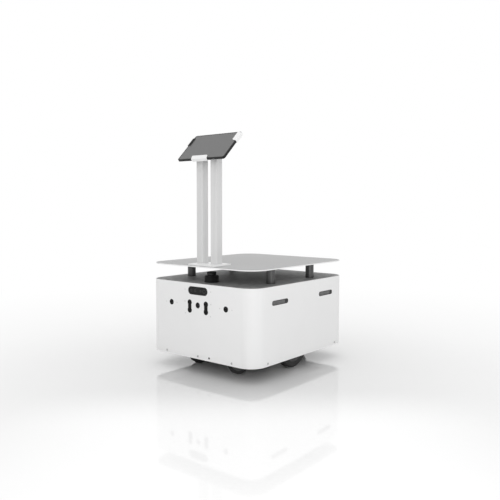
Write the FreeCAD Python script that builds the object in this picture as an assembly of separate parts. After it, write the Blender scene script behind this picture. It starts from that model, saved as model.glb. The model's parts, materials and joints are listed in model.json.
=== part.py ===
import FreeCAD, Part
import math
import os

# Autonomous mobile robot: a box-shaped drive base under a raised payload deck, with a
# scanner in the gap between them and a tilting tablet on a two-post mast.
#
# Frame: millimetres, +Z up, the floor at Z = 0 and the origin under the middle of the
# plan.  The sensor face looks towards -Y, and +X is on the right of someone who stands
# in front of that face.

# ---------------------------------------------------------------- driving dimensions

# Clearances and stock
fit_gap = 0.3            # between pieces that are assembled by hand
running_gap = 0.05       # radial, between a shaft and the bore that turns on it
sheet = 2.0              # folded steel sheet of the skirt, pan and tray

# Skirt and covers
body_w = 500.0
body_d = 575.0
body_r = 60.0
body_bottom = 54.0
body_top = 320.0
edge_round = 1.2         # rolled outer edges of the skirt
top_flange = 12.0        # turned in to carry the top cover
bottom_lip = 8.0         # turned in to carry the pan
cover_t = 3.0
cover_recess = 1.0       # the cover lies this far below the skirt's rim
pan_wall = 16.0
pan_opening_r = 14.0
caster_swing_gap = 6.0   # round the circle that a caster sweeps
drive_slot_side = 9.0    # between a drive wheel and its opening, beside it
drive_slot_end = 7.0     # and in front of it and behind it
drive_slot_r = 8.0

# Load-carrying frame
plate_in_side = 30.0     # the chassis plate's edge inside the skirt's outer face
plate_in_end = 27.5
plate_r = 40.0
plate_z = 104.0          # underside of the chassis plate
plate_t = 4.0
upright_size = 20.0
upright_wall = 2.0
upright_r = 2.5
notch_gap = 6.0          # between a drive wheel and the plate's notch, beside it
notch_end = 7.0

# Deck
deck_past = 2.0          # the deck reaches this far past the skirt all round
deck_r = 70.0
deck_t = 4.0
deck_gap = 56.5          # from the skirt's rim to the deck's underside
standoff_in_side = 58.0  # from the skirt's side to a standoff's axis
standoff_in_end = 166.0
standoff_r = 15.5
deck_screw_r = 3.0
deck_screw_head = 6.0
deck_screw_sink = 3.0
deck_screw_length = 18.0
deck_edge = 1.0          # rounding of the deck's rims and chamfer of the standoffs
payload_x = 300.0        # spacing of the payload holes
payload_y = 200.0
payload_shift = 60.0     # their centre lies this far behind the deck's middle
payload_hole = 3.3

# Mast
mast_in = 62.5           # from the deck's front edge to the posts' axes
flange_w = 118.0
flange_d = 98.0
flange_t = 4.5
flange_r = 3.0
flange_edge = 0.6
flange_screw_x = 50.0
flange_screw_y = 40.0
flange_screw_r = 2.5
flange_screw_head = 5.0
flange_sink = 2.7
post_size = 30.0
post_round = 3.0
post_wall = 2.0
post_spacing = 67.0
post_length = 367.0
plug_length = 15.0
head_t = 5.0

# Tablet, its holder and its tilt hinge
pivot_behind = 20.9      # the hinge pin lies this far behind the posts' axes
pivot_rise = 18.4        # and this far above the mast head
pivot_to_face = 30.5     # from the pin to the tablet's front face
tablet_tilt = 44.2       # of the face from the horizontal, degrees
tablet_w = 220.0
tablet_h = 134.0
tablet_t = 8.0
tablet_r = 8.0
screen_margin = 4.0
screen_t = 0.8
holder_w = 120.0
holder_h = 94.0
claw_sheet = 2.0
claw_over = 11.0         # how far a hook reaches over the face
claw_flare = 4.0
claw_corner = 3.0
bottom_claw_w = 72.0
bottom_claw_x = -3.0
side_claw_w = 42.0
side_claw_y = 39.0
latch_w = 40.0
latch_y = 30.5
latch_tongue = 85.0
tongue_w = 24.0
pin_r = 4.0
ear_t = 6.0
ear_r = 12.0
knuckle_w = 37.4
knuckle_r = 10.0
knob_r = 13.0
knob_t = 12.0
knob_lobes = 6
lobe_r = 3.2
lobe_out = 1.2           # the lobes' centres lie this far outside the knob
pin_head_r = 7.0
pin_head_t = 4.0
tablet_edge = 1.0
holder_r = 8.0
bottom_arm = 10.0        # how far the hooks' arms run over the holder's plate
side_arm = 20.0
latch_arm = 14.0
latch_flare = 0.2
guide_x = -50.0
guide_length = 12.0
guide_wall = 3.0
guide_floor = 2.0

# Scanner
lidar_in = 72.0          # from the skirt's front to the scanner's axis
lidar_base_r = 27.0
lidar_base_h = 24.0
lidar_foot_h = 3.0
lidar_step = 1.0
lidar_bevel = 3.0
lidar_window_low_r = 15.9
lidar_window_top_r = 16.6
lidar_window_h = 7.8
lidar_window_wall = 1.5
lidar_cap_r = 17.3
lidar_cap_h = 5.7
lidar_cap_edge = 0.8
lidar_cap_round = 2.0
lidar_cap_flat = 5.0
rotor_r = 10.5
rotor_low = 0.5
rotor_high = 1.0
mirror_lean = 25.0       # degrees
spindle_r = 2.0

# Front sensors: depths below the skirt's rim and distances from the middle
window_w = 93.0
window_h = 29.0
window_below = 26.0
bezel_rim = 3.0
bezel_flange = 4.0
insert_flange_t = 1.6
bezel_sink = 0.2         # how far behind the skirt's face a piece's own face lies
window_sink = 1.0
camera_round = 2.0
lens_depth = 4.0
lens_sink = 0.4
# The lenses of the depth camera: place across it and radius
lens_places = ((29.5, 6.5), (-32.0, 4.0), (12.0, 3.2), (-13.0, 4.0))
camera_w = 90.0
camera_h = 25.0
camera_depth = 22.0
front_camera_r = 10.5
front_camera_below = 76.4
front_camera_sink = 0.4
front_camera_flange = 3.5
module_w = 26.0
module_depth = 15.4
module_r = 3.0
well_low_r = 5.5
well_top_r = 9.0
well_depth = 6.2
lens_seat = 9.0
lens_r = 5.0
lens_curve = 8.0
sonar_x = 38.8
sonar_below = 82.5
sonar_pitch = 26.9
sonar_r = 8.7
sonar_neck = 11.4
sonar_can_r = 6.5
side_sonar_x = 130.0
side_sonar_below = 76.3
side_sonar_r = 7.5
side_can_r = 5.0
can_length = 13.0
can_wall = 0.8
can_lip = 1.4
can_cone = 1.2
can_tip_r = 1.5
sonar_sink = 0.5
can_sink = 0.9
sonar_flange = 4.0
sonar_flange_r = 6.0
sonar_depth = 4.0
board_w = 20.0
board_h = 46.0
side_board_w = 22.0
board_t = 1.6
board_r = 1.0
receiver_x = 52.6
receiver_above = 11.0    # this eye's height is taken from the skirt's foot
receiver_r = 4.0
receiver_flange = 2.0
receiver_head = 3.0
receiver_dome = 0.6
receiver_sink = 0.3

# Side vents
vent_w = 92.0
vent_h = 17.0
vent_r = 8.0
vent_below = 56.5        # the skirt's rim
vent_depth = 6.0
vent_rim = 1.6
vent_sink = 0.3
vent_flange = 4.0
slat_t = 2.0
slat_deep = 2.4
slat_pitch = 5.5

# Skirt screws
screw_above = 10.5       # the skirt's foot
screw_in_side = 94.4     # from the skirt's side to the outer screws of its ends
screw_in_end = 75.5      # from its ends to the screws of its sides
screw_r = 2.0
screw_head_r = 3.8
screw_head_h = 2.2
screw_length = 8.0
screw_brim = 0.6

# Drive wheels
wheel_r = 85.0
wheel_w = 30.0
wheel_in = 60.0          # from the skirt's side to the wheel's middle
wheel_y = 9.0            # the drive axle lies this far behind the body's middle
tyre_h = 21.0            # from the rim to the tread
tyre_shoulder = 5.0
bead_h = 6.0
groove_pitch = 8.0
groove_w = 3.0
groove_deep = 2.0
rim_sink = 2.0           # the rim lies this far inside the tyre's side
rim_w = 10.0
hub_boss_r = 20.0
hub_slope = 4.0
hub_dish = 6.0
axle_r = 6.0
axle_short = 4.0         # the axle ends this far inside the wheel's outer side
axle_tail = 8.0
axle_boss_r = 14.0
axle_boss_t = 5.0
axle_nut_r = 11.0
axle_nut_t = 6.0
bracket_off = 10.0       # between the wheel and its bracket
bracket_t = 6.0
bracket_w = 80.0
bracket_foot = 36.0
bracket_below = 20.0     # how far the bracket reaches below the axle
gusset_in = 22.0

# Casters
caster_in_side = 131.5   # from the skirt's side to a swivel axis
caster_in_end = 106.0
caster_r = 37.5
caster_w = 27.0
caster_trail = 18.0
caster_plate_w = 72.0
caster_plate_d = 60.0
caster_plate_t = 3.0
caster_plate_r = 5.0
housing_r = 20.0
housing_h = 11.0
housing_edge = 2.0
housing_flare = 3.0
kingpin_r = 6.0
kingpin_end = 0.6
fork_gap = 1.3           # between the wheel and a leg of the fork
fork_sheet = 2.5
crown_gap = 0.5
crown_length = 40.0
crown_t = 3.0
crown_r = 6.0
race_r = 15.0
leg_front = 16.0
leg_rear = 19.0
eye_r = 9.0
caster_axle_r = 4.0
axle_cap_r = 6.5
axle_cap_t = 3.0
caster_tread = 10.5
caster_side = 1.0        # the tread stands back this far from the hub's faces
caster_bevel = 2.0
caster_boss_r = 9.0
caster_dish = 3.0

# Rear tray and contacts
tray_w = 240.0
tray_h = 110.0
tray_r = 10.0
tray_below = 80.0        # the skirt's rim
tray_depth = 22.0
tray_flange = 10.0
tray_flange_r = 18.0
estop_x = 75.0
estop_r = 15.0
estop_stem_r = 9.0
estop_collar_r = 14.0
estop_collar_h = 5.0
estop_rest = 0.5         # between the pressed button and its collar
estop_travel = 4.0
power_r = 7.0
power_collar_r = 11.0
power_collar_h = 3.0
power_travel = 2.0
button_gap = 0.5         # round a button where it passes the tray
collar_gap = 0.08        # round a button inside its collar
collar_edge = 1.0
socket_x = -75.0
socket_w = 30.0
socket_h = 26.0
socket_r = 3.0
socket_rim = 3.0
socket_rim_t = 4.0
socket_depth = 8.0
well_r = 10.0
socket_well_depth = 5.0
contact_pin_r = 1.3
contact_pin_ring = 5.0
contact_pins = 3
contact_above = 56.0     # the skirt's foot
contact_w = 150.0
contact_h = 36.0
contact_r = 4.0
contact_flange = 6.0
contact_flange_t = 3.0
contact_proud = 0.4
strip_w = 58.0
strip_h = 22.0
strip_x = 36.0
strip_r = 3.0
strip_t = 1.2
strip_edge = 0.5

# Pieces inside the skirt
battery_w = 190.0
battery_h = 120.0
battery_r = 8.0
battery_round = 3.0
battery_lid = 14.0
battery_seam = 1.5
clamp_w = 24.0
clamp_foot = 22.0
computer_w = 180.0
computer_h = 42.0
computer_fins = 14
driver_w = 140.0
driver_h = 30.0
driver_fins = 11
case_r = 3.0
fin_h = 10.0
fin_t = 3.0
fin_in = 3.0
# What each piece and each gap takes of the chassis plate's length, from front to rear
bay_shares = {"front_gap": 0.105, "computer": 0.240, "middle_gap": 0.040, "driver": 0.190,
              "rear_gap": 0.060, "battery": 0.317}

# ---------------------------------------------------------------- derived places

plate_w = body_w - 2 * plate_in_side
plate_d = body_d - 2 * plate_in_end
deck_w = body_w + 2 * deck_past
deck_d = body_d + 2 * deck_past
standoff_x = body_w / 2 - standoff_in_side
standoff_y = body_d / 2 - standoff_in_end
mast_y = mast_in - deck_d / 2
lidar_y = lidar_in - body_d / 2
window_z = body_top - window_below
front_camera_z = body_top - front_camera_below
sonar_z = body_top - sonar_below
side_sonar_z = body_top - side_sonar_below
vent_z = body_top - vent_below
tray_z = body_top - tray_below
receiver_z = body_bottom + receiver_above
screw_z = body_bottom + screw_above
contact_z = body_bottom + contact_above
vent_y = body_d / 4
screw_front_x = body_w / 2 - screw_in_side
screw_side_y = body_d / 2 - screw_in_end
wheel_x = body_w / 2 - wheel_in
caster_x = body_w / 2 - caster_in_side
caster_y = body_d / 2 - caster_in_end
cover_seat = body_top - cover_recess - cover_t
cover_top = body_top - cover_recess
deck_bottom = body_top + deck_gap
deck_top = deck_bottom + deck_t
plate_top = plate_z + plate_t
post_bottom = deck_top + flange_t
post_top = post_bottom + post_length
head_top = post_top + head_t
pivot_y = mast_y + pivot_behind
pivot_z = head_top + pivot_rise
front_face = body_d / 2
side_face = body_w / 2
tray_floor = front_face - sheet - tray_depth
hub_r = wheel_r - tyre_h
can_front = front_face - can_sink
holder_back = -tablet_t - claw_sheet
lidar_window_low = cover_top + lidar_base_h
lidar_window_top = lidar_window_low + lidar_window_h
housing_low = plate_z - caster_plate_t - housing_h
crown_top = housing_low - crown_gap
fork_half = caster_w / 2 + fork_gap

# Casters: side, end and the direction from the swivel axis to the wheel, in degrees
casters = {
    "fl": (-1, -1, 68.0),
    "fr": (1, -1, 200.0),
    "rl": (-1, 1, 30.0),
    "rr": (1, 1, 150.0),
}


# ---------------------------------------------------------------- shape functions

def vec(x, y, z):
    return FreeCAD.Vector(x, y, z)


def round_rect(width, depth, radius):
    """Closed wire of a rectangle with round corners, centred on the origin."""
    half_x, half_y = width / 2 - radius, depth / 2 - radius
    edges = []
    last_end = None
    first_start = None
    for turn, (side_x, side_y) in enumerate(((1, 1), (-1, 1), (-1, -1), (1, -1))):
        centre = vec(side_x * half_x, side_y * half_y, 0)
        arc = Part.makeCircle(radius, centre, vec(0, 0, 1), 90 * turn, 90 * turn + 90)
        start, end = arc.Vertexes[0].Point, arc.Vertexes[-1].Point
        if last_end is None:
            first_start = start
        elif start.distanceToPoint(last_end) > 1e-6:
            edges.append(Part.makeLine(last_end, start))
        edges.append(arc)
        last_end = end
    if last_end.distanceToPoint(first_start) > 1e-6:
        edges.append(Part.makeLine(last_end, first_start))
    return Part.Wire(edges)


def slab(width, depth, radius, low, high, x=0.0, y=0.0):
    """Upright prism on a round-cornered rectangle."""
    body = Part.Face(round_rect(width, depth, radius)).extrude(vec(0, 0, high - low))
    body.translate(vec(x, y, low))
    return body


def block(x0, x1, y0, y1, z0, z1):
    return Part.makeBox(x1 - x0, y1 - y0, z1 - z0, vec(x0, y0, z0))


def rod(radius, low, high, x=0.0, y=0.0):
    return Part.makeCylinder(radius, high - low, vec(x, y, low))


def turned(profile, x=0.0, y=0.0):
    """Solid of revolution about an upright axis; the profile lists (radius, height)."""
    points = [vec(r, 0, z) for r, z in profile]
    face = Part.Face(Part.makePolygon(points + points[:1]))
    body = face.revolve(vec(0, 0, 0), vec(0, 0, 1), 360)
    body.translate(vec(x, y, 0))
    return body


def facing(shape, turn=0):
    """Stands a shape drawn on its back against a wall of the body.

    Drawn: X along the wall, Y up, Z outwards.  Turn 0 is the front, 90 the +X side,
    180 the rear and 270 the -X side.
    """
    placed = shape.copy()
    placed.rotate(vec(0, 0, 0), vec(1, 0, 0), 90)
    placed.rotate(vec(0, 0, 0), vec(0, 0, 1), turn)
    return placed


def round_level_edges(shape, radius, heights):
    """Fillets every edge that lies wholly at one of the heights."""
    edges = [edge for edge in shape.Edges
             if any(abs(edge.BoundBox.ZMin - z) < 1e-4 and abs(edge.BoundBox.ZMax - z) < 1e-4
                    for z in heights)]
    return shape.makeFillet(radius, edges)


def joined(shapes):
    first, rest = shapes[0], shapes[1:]
    return first.fuse(rest).removeSplitter() if rest else first


def group(shapes):
    return Part.makeCompound(shapes)


def save(name, shape):
    shape.exportStep("parts/" + name + ".step")


def four_corners(x, y):
    return [(sx * x, sy * y) for sx in (-1, 1) for sy in (-1, 1)]


# ---------------------------------------------------------------- skirt and covers

def peanut(radius, neck, low, high):
    """Two round ends, one above the other, joined by a straight neck."""
    half = sonar_pitch / 2
    ends = [rod(radius, low, high, 0, side * half) for side in (-1, 1)]
    return joined(ends + [block(-neck / 2, neck / 2, -half, half, low, high)])


def wall_cut(shape, x, z, turn=0):
    cut = shape.copy()
    cut.translate(vec(x, z, 0))
    return facing(cut, turn)


def screw_places():
    """Every skirt screw as (place along the wall, turn, distance of the wall)."""
    ends = [(x, turn, front_face) for turn in (0, 180)
            for x in (-screw_front_x, 0, screw_front_x)]
    sides = [(y, turn, side_face) for turn in (90, 270)
             for y in (-screw_side_y, screw_side_y)]
    return ends + sides


def screw_holes():
    cuts = []
    for along, turn, wall in screw_places():
        hole = rod(screw_r + 0.1, wall - screw_length - 1, wall + 1)
        cuts.append(wall_cut(hole, along, screw_z, turn))
    return cuts


def skirt_openings():
    low, high = front_face - sheet - 1, front_face + 1
    side_low, side_high = side_face - sheet - 1, side_face + 1
    cuts = [wall_cut(slab(window_w, window_h, window_h / 2, low, high), 0, window_z),
            wall_cut(rod(front_camera_r, low, high), 0, front_camera_z),
            wall_cut(rod(receiver_r, low - sheet - 1, high), receiver_x, receiver_z)]
    for side in (-1, 1):
        cuts.append(wall_cut(peanut(sonar_r, sonar_neck, low, high), side * sonar_x, sonar_z))
        cuts.append(wall_cut(rod(side_sonar_r, low, high), side * side_sonar_x, side_sonar_z))
        for turn in (90, 270):
            cuts.append(wall_cut(slab(vent_w, vent_h, vent_r, side_low, side_high),
                                 side * vent_y, vent_z, turn))
    cuts.append(wall_cut(slab(tray_w, tray_h, tray_r, low, high), 0, tray_z, 180))
    cuts.append(wall_cut(slab(contact_w, contact_h, contact_r, low, high), 0, contact_z, 180))
    return cuts


def shell_skirt():
    """One sheet wrapped round four corners, its rim and foot turned in."""
    outer = slab(body_w, body_d, body_r, body_bottom, body_top)
    outer = round_level_edges(outer, edge_round, (body_bottom, body_top))

    def inside(inset, low, high):
        return slab(body_w - 2 * inset, body_d - 2 * inset, body_r - inset, low, high)

    hollow = inside(sheet, body_bottom + sheet, cover_seat - sheet)
    foot = inside(sheet + bottom_lip, body_bottom - 1, body_bottom + sheet + 1)
    rim = inside(sheet + top_flange, cover_seat - sheet - 1, cover_seat + 1)
    recess = inside(sheet, cover_seat, body_top + 1)
    return outer.cut([hollow, foot, rim, recess] + skirt_openings() + screw_holes())


def top_cover():
    inset = sheet + fit_gap
    cover = slab(body_w - 2 * inset, body_d - 2 * inset, body_r - inset, cover_seat, cover_top)
    holes = [rod(deck_screw_r + fit_gap, cover_seat - 1, cover_top + 1, x, y)
             for x, y in four_corners(standoff_x, standoff_y)]
    return cover.cut(holes)


def bottom_pan():
    """Folded tray that closes the skirt's foot, open for the six wheels."""
    inset = sheet + fit_gap
    low = body_bottom + sheet
    outer = slab(body_w - 2 * inset, body_d - 2 * inset, body_r - inset, low, low + pan_wall)
    inner = slab(body_w - 2 * (inset + sheet), body_d - 2 * (inset + sheet),
                 body_r - inset - sheet, low + sheet, low + pan_wall + 1)
    swing = 2 * (caster_trail + caster_r + caster_swing_gap)
    cuts = [inner]
    for x, y in four_corners(caster_x, caster_y):
        cuts.append(slab(swing, swing, pan_opening_r, low - 1, low + sheet + 1, x, y))
    for side in (-1, 1):
        cuts.append(slab(wheel_w + 2 * drive_slot_side, 2 * (wheel_r + drive_slot_end),
                         drive_slot_r, low - 1, low + sheet + 1, side * wheel_x, wheel_y))
    receiver = wall_cut(rod(receiver_r, front_face - 8, front_face), receiver_x, receiver_z)
    return outer.cut(cuts + screw_holes() + [receiver])


# ---------------------------------------------------------------- frame and contents

def chassis_plate():
    """Main plate, notched from its sides for the drive wheels."""
    plate = slab(plate_w, plate_d, plate_r, plate_z, plate_top)
    inner_x = wheel_x - wheel_w / 2 - notch_gap
    notch_half = wheel_r + notch_end
    cuts = []
    for side in (-1, 1):
        x0, x1 = sorted((side * inner_x, side * (plate_w / 2 + 1)))
        cuts.append(block(x0, x1, wheel_y - notch_half, wheel_y + notch_half,
                          plate_z - 1, plate_top + 1))
    return plate.cut(cuts)


def frame_uprights():
    tubes = []
    for x, y in four_corners(standoff_x, standoff_y):
        outer = slab(upright_size, upright_size, upright_r, plate_top, cover_seat, x, y)
        bore = upright_size - 2 * upright_wall
        inner = slab(bore, bore, upright_r - upright_wall, plate_top - 1, cover_seat + 1, x, y)
        tubes.append(outer.cut(inner))
    return group(tubes)


def bay(name):
    """(length, middle) of a piece in the row along the chassis plate."""
    before = 0.0
    for other, share in bay_shares.items():
        if other == name:
            return share * plate_d, (before + share / 2 - 0.5) * plate_d
        before += share


def battery_pack():
    depth, battery_y = bay("battery")
    top = plate_top + battery_h
    case = slab(battery_w, depth, battery_r, plate_top, top, 0, battery_y)
    case = round_level_edges(case, battery_round, (top,))
    low, high = top - battery_lid, top - battery_lid + battery_seam
    ring = slab(battery_w + 1, depth + 1, battery_r, low, high, 0, battery_y)
    core = slab(battery_w - 2 * battery_seam, depth - 2 * battery_seam,
                battery_r - battery_seam, low - 1, high + 1, 0, battery_y)
    return case.cut(ring.cut(core))


def battery_clamp():
    """Strap over the pack with a foot on the plate at each side."""
    half, wide = battery_w / 2 + fit_gap, clamp_w / 2
    top = plate_top + battery_h + fit_gap
    outer = block(-half - sheet, half + sheet, -wide, wide, plate_top, top + sheet)
    inner = block(-half, half, -wide - 1, wide + 1, plate_top - 1, top)
    feet = [block(min(s * half, s * (half + clamp_foot)), max(s * half, s * (half + clamp_foot)),
                  -wide, wide, plate_top, plate_top + sheet) for s in (-1, 1)]
    strap = joined([outer.cut(inner)] + feet)
    strap.translate(vec(0, bay("battery")[1], 0))
    return strap


def finned_box(name, width, height, fins):
    """Die-cast case with cooling fins along its top."""
    depth, y = bay(name)
    top = plate_top + height
    case = slab(width, depth, case_r, plate_top, top - fin_h, 0, y)
    pitch = width / fins
    combs = []
    for number in range(fins):
        x = -width / 2 + pitch * (number + 0.5)
        combs.append(block(x - fin_t / 2, x + fin_t / 2, y - depth / 2 + fin_in,
                           y + depth / 2 - fin_in, top - fin_h - 1, top))
    return joined([case] + combs)


# ---------------------------------------------------------------- front sensors

def stadium(width, height, low, high):
    return slab(width, height, height / 2, low, high)


def depth_camera_bezel():
    """Black ring pressed into the window opening from behind."""
    back = front_face - sheet
    ring_w, ring_h = window_w - 2 * fit_gap, window_h - 2 * fit_gap
    ring = stadium(ring_w, ring_h, back - 0.5, front_face - bezel_sink)
    flange = stadium(window_w + 2 * bezel_flange, window_h + 2 * bezel_flange,
                     back - insert_flange_t, back)
    hole = stadium(ring_w - 2 * bezel_rim, ring_h - 2 * bezel_rim,
                   back - insert_flange_t - 1, front_face + 1)
    shape = joined([ring, flange]).cut(hole)
    return wall_cut(shape, 0, window_z)

def depth_camera_body():
    front = front_face - sheet - insert_flange_t
    case = stadium(camera_w, camera_h, front - camera_depth, front)
    case = round_level_edges(case, camera_round, (front - camera_depth,))
    pockets = [rod(radius + fit_gap, front - lens_depth, front + 1, x) for x, radius in lens_places]
    return wall_cut(case.cut(pockets), 0, window_z)


def depth_camera_lenses():
    front = front_face - sheet - insert_flange_t
    barrels = []
    for x, radius in lens_places:
        barrels.append(turned([(0, front - lens_depth), (radius, front - lens_depth),
                               (radius, front - lens_sink), (radius * 0.8, front - lens_sink),
                               (radius * 0.55, front - lens_depth / 2),
                               (0, front - lens_depth / 3)], x))
    return wall_cut(group(barrels), 0, window_z)


def depth_camera_window():
    inset = 2 * (2 * fit_gap + bezel_rim)
    front = front_face - sheet - insert_flange_t
    pane = stadium(window_w - inset, window_h - inset, front, front_face - window_sink)
    return wall_cut(pane, 0, window_z)


def front_camera():
    """Round bezel with a conical well down to the lens, on a square module."""
    back = front_face - sheet
    bezel = rod(front_camera_r - fit_gap, back - 1, front_face - front_camera_sink)
    flange = rod(front_camera_r + front_camera_flange, back - insert_flange_t, back)
    module = slab(module_w, module_w, module_r, back - insert_flange_t - module_depth,
                  back - insert_flange_t)
    well = Part.makeCone(well_low_r, well_top_r, well_depth, vec(0, 0, front_face - well_depth))
    seat = rod(lens_r + fit_gap, front_face - lens_seat, front_face - well_depth + 1)
    return wall_cut(joined([bezel, flange, module]).cut([well, seat]), 0, front_camera_z)


def front_camera_lens():
    low = front_face - lens_seat
    ball = Part.makeSphere(lens_curve, vec(0, 0, low - lens_curve / 2))
    dome = ball.common(rod(lens_r, low, low + lens_curve))
    return wall_cut(dome, 0, front_camera_z)


def sonar_housings():
    back, front = front_face - sheet, front_face - sonar_sink
    shapes = []
    for side in (-1, 1):
        face = peanut(sonar_r - fit_gap, sonar_neck - 2 * fit_gap, back - 1, front)
        width = 2 * (sonar_r + sonar_flange)
        flange = slab(width, width + sonar_pitch, sonar_flange_r, back - insert_flange_t, back)
        holes = [rod(sonar_can_r + fit_gap, back - sonar_depth, front_face + 1, 0,
                     end * sonar_pitch / 2) for end in (-1, 1)]
        shapes.append(wall_cut(joined([face, flange]).cut(holes), side * sonar_x, sonar_z))
        face = rod(side_sonar_r - fit_gap, back - 1, front)
        flange = rod(side_sonar_r + sonar_flange, back - insert_flange_t, back)
        hole = rod(side_can_r + fit_gap, back - sonar_depth, front_face + 1)
        shapes.append(wall_cut(joined([face, flange]).cut(hole), side * side_sonar_x, side_sonar_z))
    return group(shapes)


def sonar_places():
    """Every sounder as (x, z, can radius)."""
    pairs = [(side * sonar_x, sonar_z + end * sonar_pitch / 2, sonar_can_r)
             for side in (-1, 1) for end in (-1, 1)]
    singles = [(side * side_sonar_x, side_sonar_z, side_can_r) for side in (-1, 1)]
    return pairs + singles

def sonar_cans():
    """Open-fronted cans, each with a shallow cone behind its rim."""
    cans = []
    low = can_front - can_length
    tip = can_front - can_lip - can_cone
    for x, z, radius in sonar_places():
        bore = radius - can_wall
        can = turned([(0, low), (radius, low), (radius, can_front), (bore, can_front),
                      (bore, can_front - can_lip), (can_tip_r, tip), (0, tip)])
        cans.append(wall_cut(can, x, z))
    return group(cans)


def sonar_boards():
    high = can_front - can_length
    boards = []
    for side in (-1, 1):
        pair = slab(board_w, board_h, board_r, high - board_t, high)
        boards.append(wall_cut(pair, side * sonar_x, sonar_z))
        single = slab(side_board_w, side_board_w, board_r, high - board_t, high)
        boards.append(wall_cut(single, side * side_sonar_x, side_sonar_z))
    return group(boards)


def dock_receiver():
    """Infra-red eye through the skirt and the pan's wall."""
    radius, brim = receiver_r - fit_gap, receiver_r - fit_gap + receiver_flange
    behind = front_face - 2 * sheet - fit_gap
    front = front_face - receiver_sink
    eye = turned([(0, behind - receiver_head), (brim, behind - receiver_head), (brim, behind),
                  (radius, behind), (radius, front), (radius * 0.6, front_face + receiver_dome * 0.6),
                  (0, front_face + receiver_dome)])
    return wall_cut(eye, receiver_x, receiver_z)


# ---------------------------------------------------------------- side vents

def vent():
    """Plastic liner of a side slot with upright slats set back in it."""
    back = side_face - sheet
    ring_w, ring_h = vent_w - 2 * fit_gap, vent_h - 2 * fit_gap
    floor = side_face - vent_depth
    ring = slab(ring_w, ring_h, vent_r - fit_gap, floor, side_face - vent_sink)
    flange = slab(vent_w + 2 * vent_flange, vent_h + 2 * vent_flange, vent_r + vent_flange,
                  back - insert_flange_t, back)
    hole_w, hole_h = ring_w - 2 * vent_rim, ring_h - 2 * vent_rim
    hole = slab(hole_w, hole_h, vent_r - fit_gap - vent_rim, floor - 1, side_face + 1)
    shape = joined([ring, flange]).cut(hole)
    count = int((hole_w / 2 - vent_r) / slat_pitch)
    slats = [block(n * slat_pitch - slat_t / 2, n * slat_pitch + slat_t / 2,
                   -hole_h / 2 - 0.5, hole_h / 2 + 0.5, floor, floor + slat_deep)
             for n in range(-count, count + 1)]
    return joined([shape] + slats)


def side_vents(turn):
    return group([wall_cut(vent(), side * vent_y, vent_z, turn) for side in (-1, 1)])


def shell_screws():
    screws = []
    for along, turn, wall in screw_places():
        screw = turned([(0, wall - screw_length), (screw_r, wall - screw_length), (screw_r, wall),
                        (screw_head_r, wall), (screw_head_r, wall + screw_brim),
                        (screw_head_r * 0.7, wall + screw_head_h * 0.85), (0, wall + screw_head_h)])
        screws.append(wall_cut(screw, along, screw_z, turn))
    return group(screws)


# ---------------------------------------------------------------- deck

def deck_standoffs():
    pillars = []
    low, high, r = cover_top, deck_bottom, standoff_r
    for x, y in four_corners(standoff_x, standoff_y):
        pillar = turned([(0, low), (r - deck_edge, low), (r, low + deck_edge),
                         (r, high - deck_edge), (r - deck_edge, high), (0, high)], x, y)
        hole = rod(deck_screw_r + running_gap, high - deck_screw_length, high + 1, x, y)
        pillars.append(pillar.cut(hole))
    return group(pillars)


def flange_screw_places():
    return [(x, mast_y + y) for x, y in four_corners(flange_screw_x, flange_screw_y)]


def deck_plate():
    deck = slab(deck_w, deck_d, deck_r, deck_bottom, deck_top)
    deck = round_level_edges(deck, deck_edge, (deck_bottom, deck_top))
    cuts = []
    for x, y in four_corners(standoff_x, standoff_y):
        cuts.append(rod(deck_screw_r + fit_gap, deck_bottom - 1, deck_top + 1, x, y))
        cuts.append(Part.makeCone(deck_screw_r, deck_screw_head + 0.2, deck_screw_sink + 0.2,
                                  vec(x, y, deck_top - deck_screw_sink - 0.2)))
    for x, y in flange_screw_places():
        cuts.append(rod(flange_screw_r + 0.25, deck_bottom - 1, deck_top + 1, x, y))
    for x, y in four_corners(payload_x / 2, payload_y / 2):
        cuts.append(rod(payload_hole, deck_bottom - 1, deck_top + 1, x, y + payload_shift))
    return deck.cut(cuts)


def deck_screws():
    """Countersunk screws into the standoffs and through the mast flange."""
    screws = []
    for x, y in four_corners(standoff_x, standoff_y):
        tip = deck_top - deck_screw_length
        screws.append(turned([(0, tip), (deck_screw_r, tip),
                              (deck_screw_r, deck_top - deck_screw_sink),
                              (deck_screw_head, deck_top - 0.1), (0, deck_top - 0.1)], x, y))
    for x, y in flange_screw_places():
        screws.append(turned([(0, deck_bottom), (flange_screw_r, deck_bottom),
                              (flange_screw_r, post_bottom - flange_sink),
                              (flange_screw_head, post_bottom - 0.1),
                              (0, post_bottom - 0.1)], x, y))
    return group(screws)


# ---------------------------------------------------------------- mast

def mast_flange():
    plate = slab(flange_w, flange_d, flange_r, deck_top, post_bottom, 0, mast_y)
    plate = round_level_edges(plate, flange_edge, (post_bottom,))
    cuts = []
    for x, y in flange_screw_places():
        cuts.append(rod(flange_screw_r + 0.25, deck_top - 1, post_bottom + 1, x, y))
        cuts.append(Part.makeCone(flange_screw_r, flange_screw_head + 0.2, flange_sink,
                                  vec(x, y, post_bottom - flange_sink)))
    return plate.cut(cuts)


def mast_post(side):
    x = side * post_spacing / 2
    bore = post_size - 2 * post_wall
    outer = slab(post_size, post_size, post_round, post_bottom, post_top, x, mast_y)
    return outer.cut(slab(bore, bore, post_round - post_wall, post_bottom - 1, post_top + 1, x, mast_y))


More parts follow.
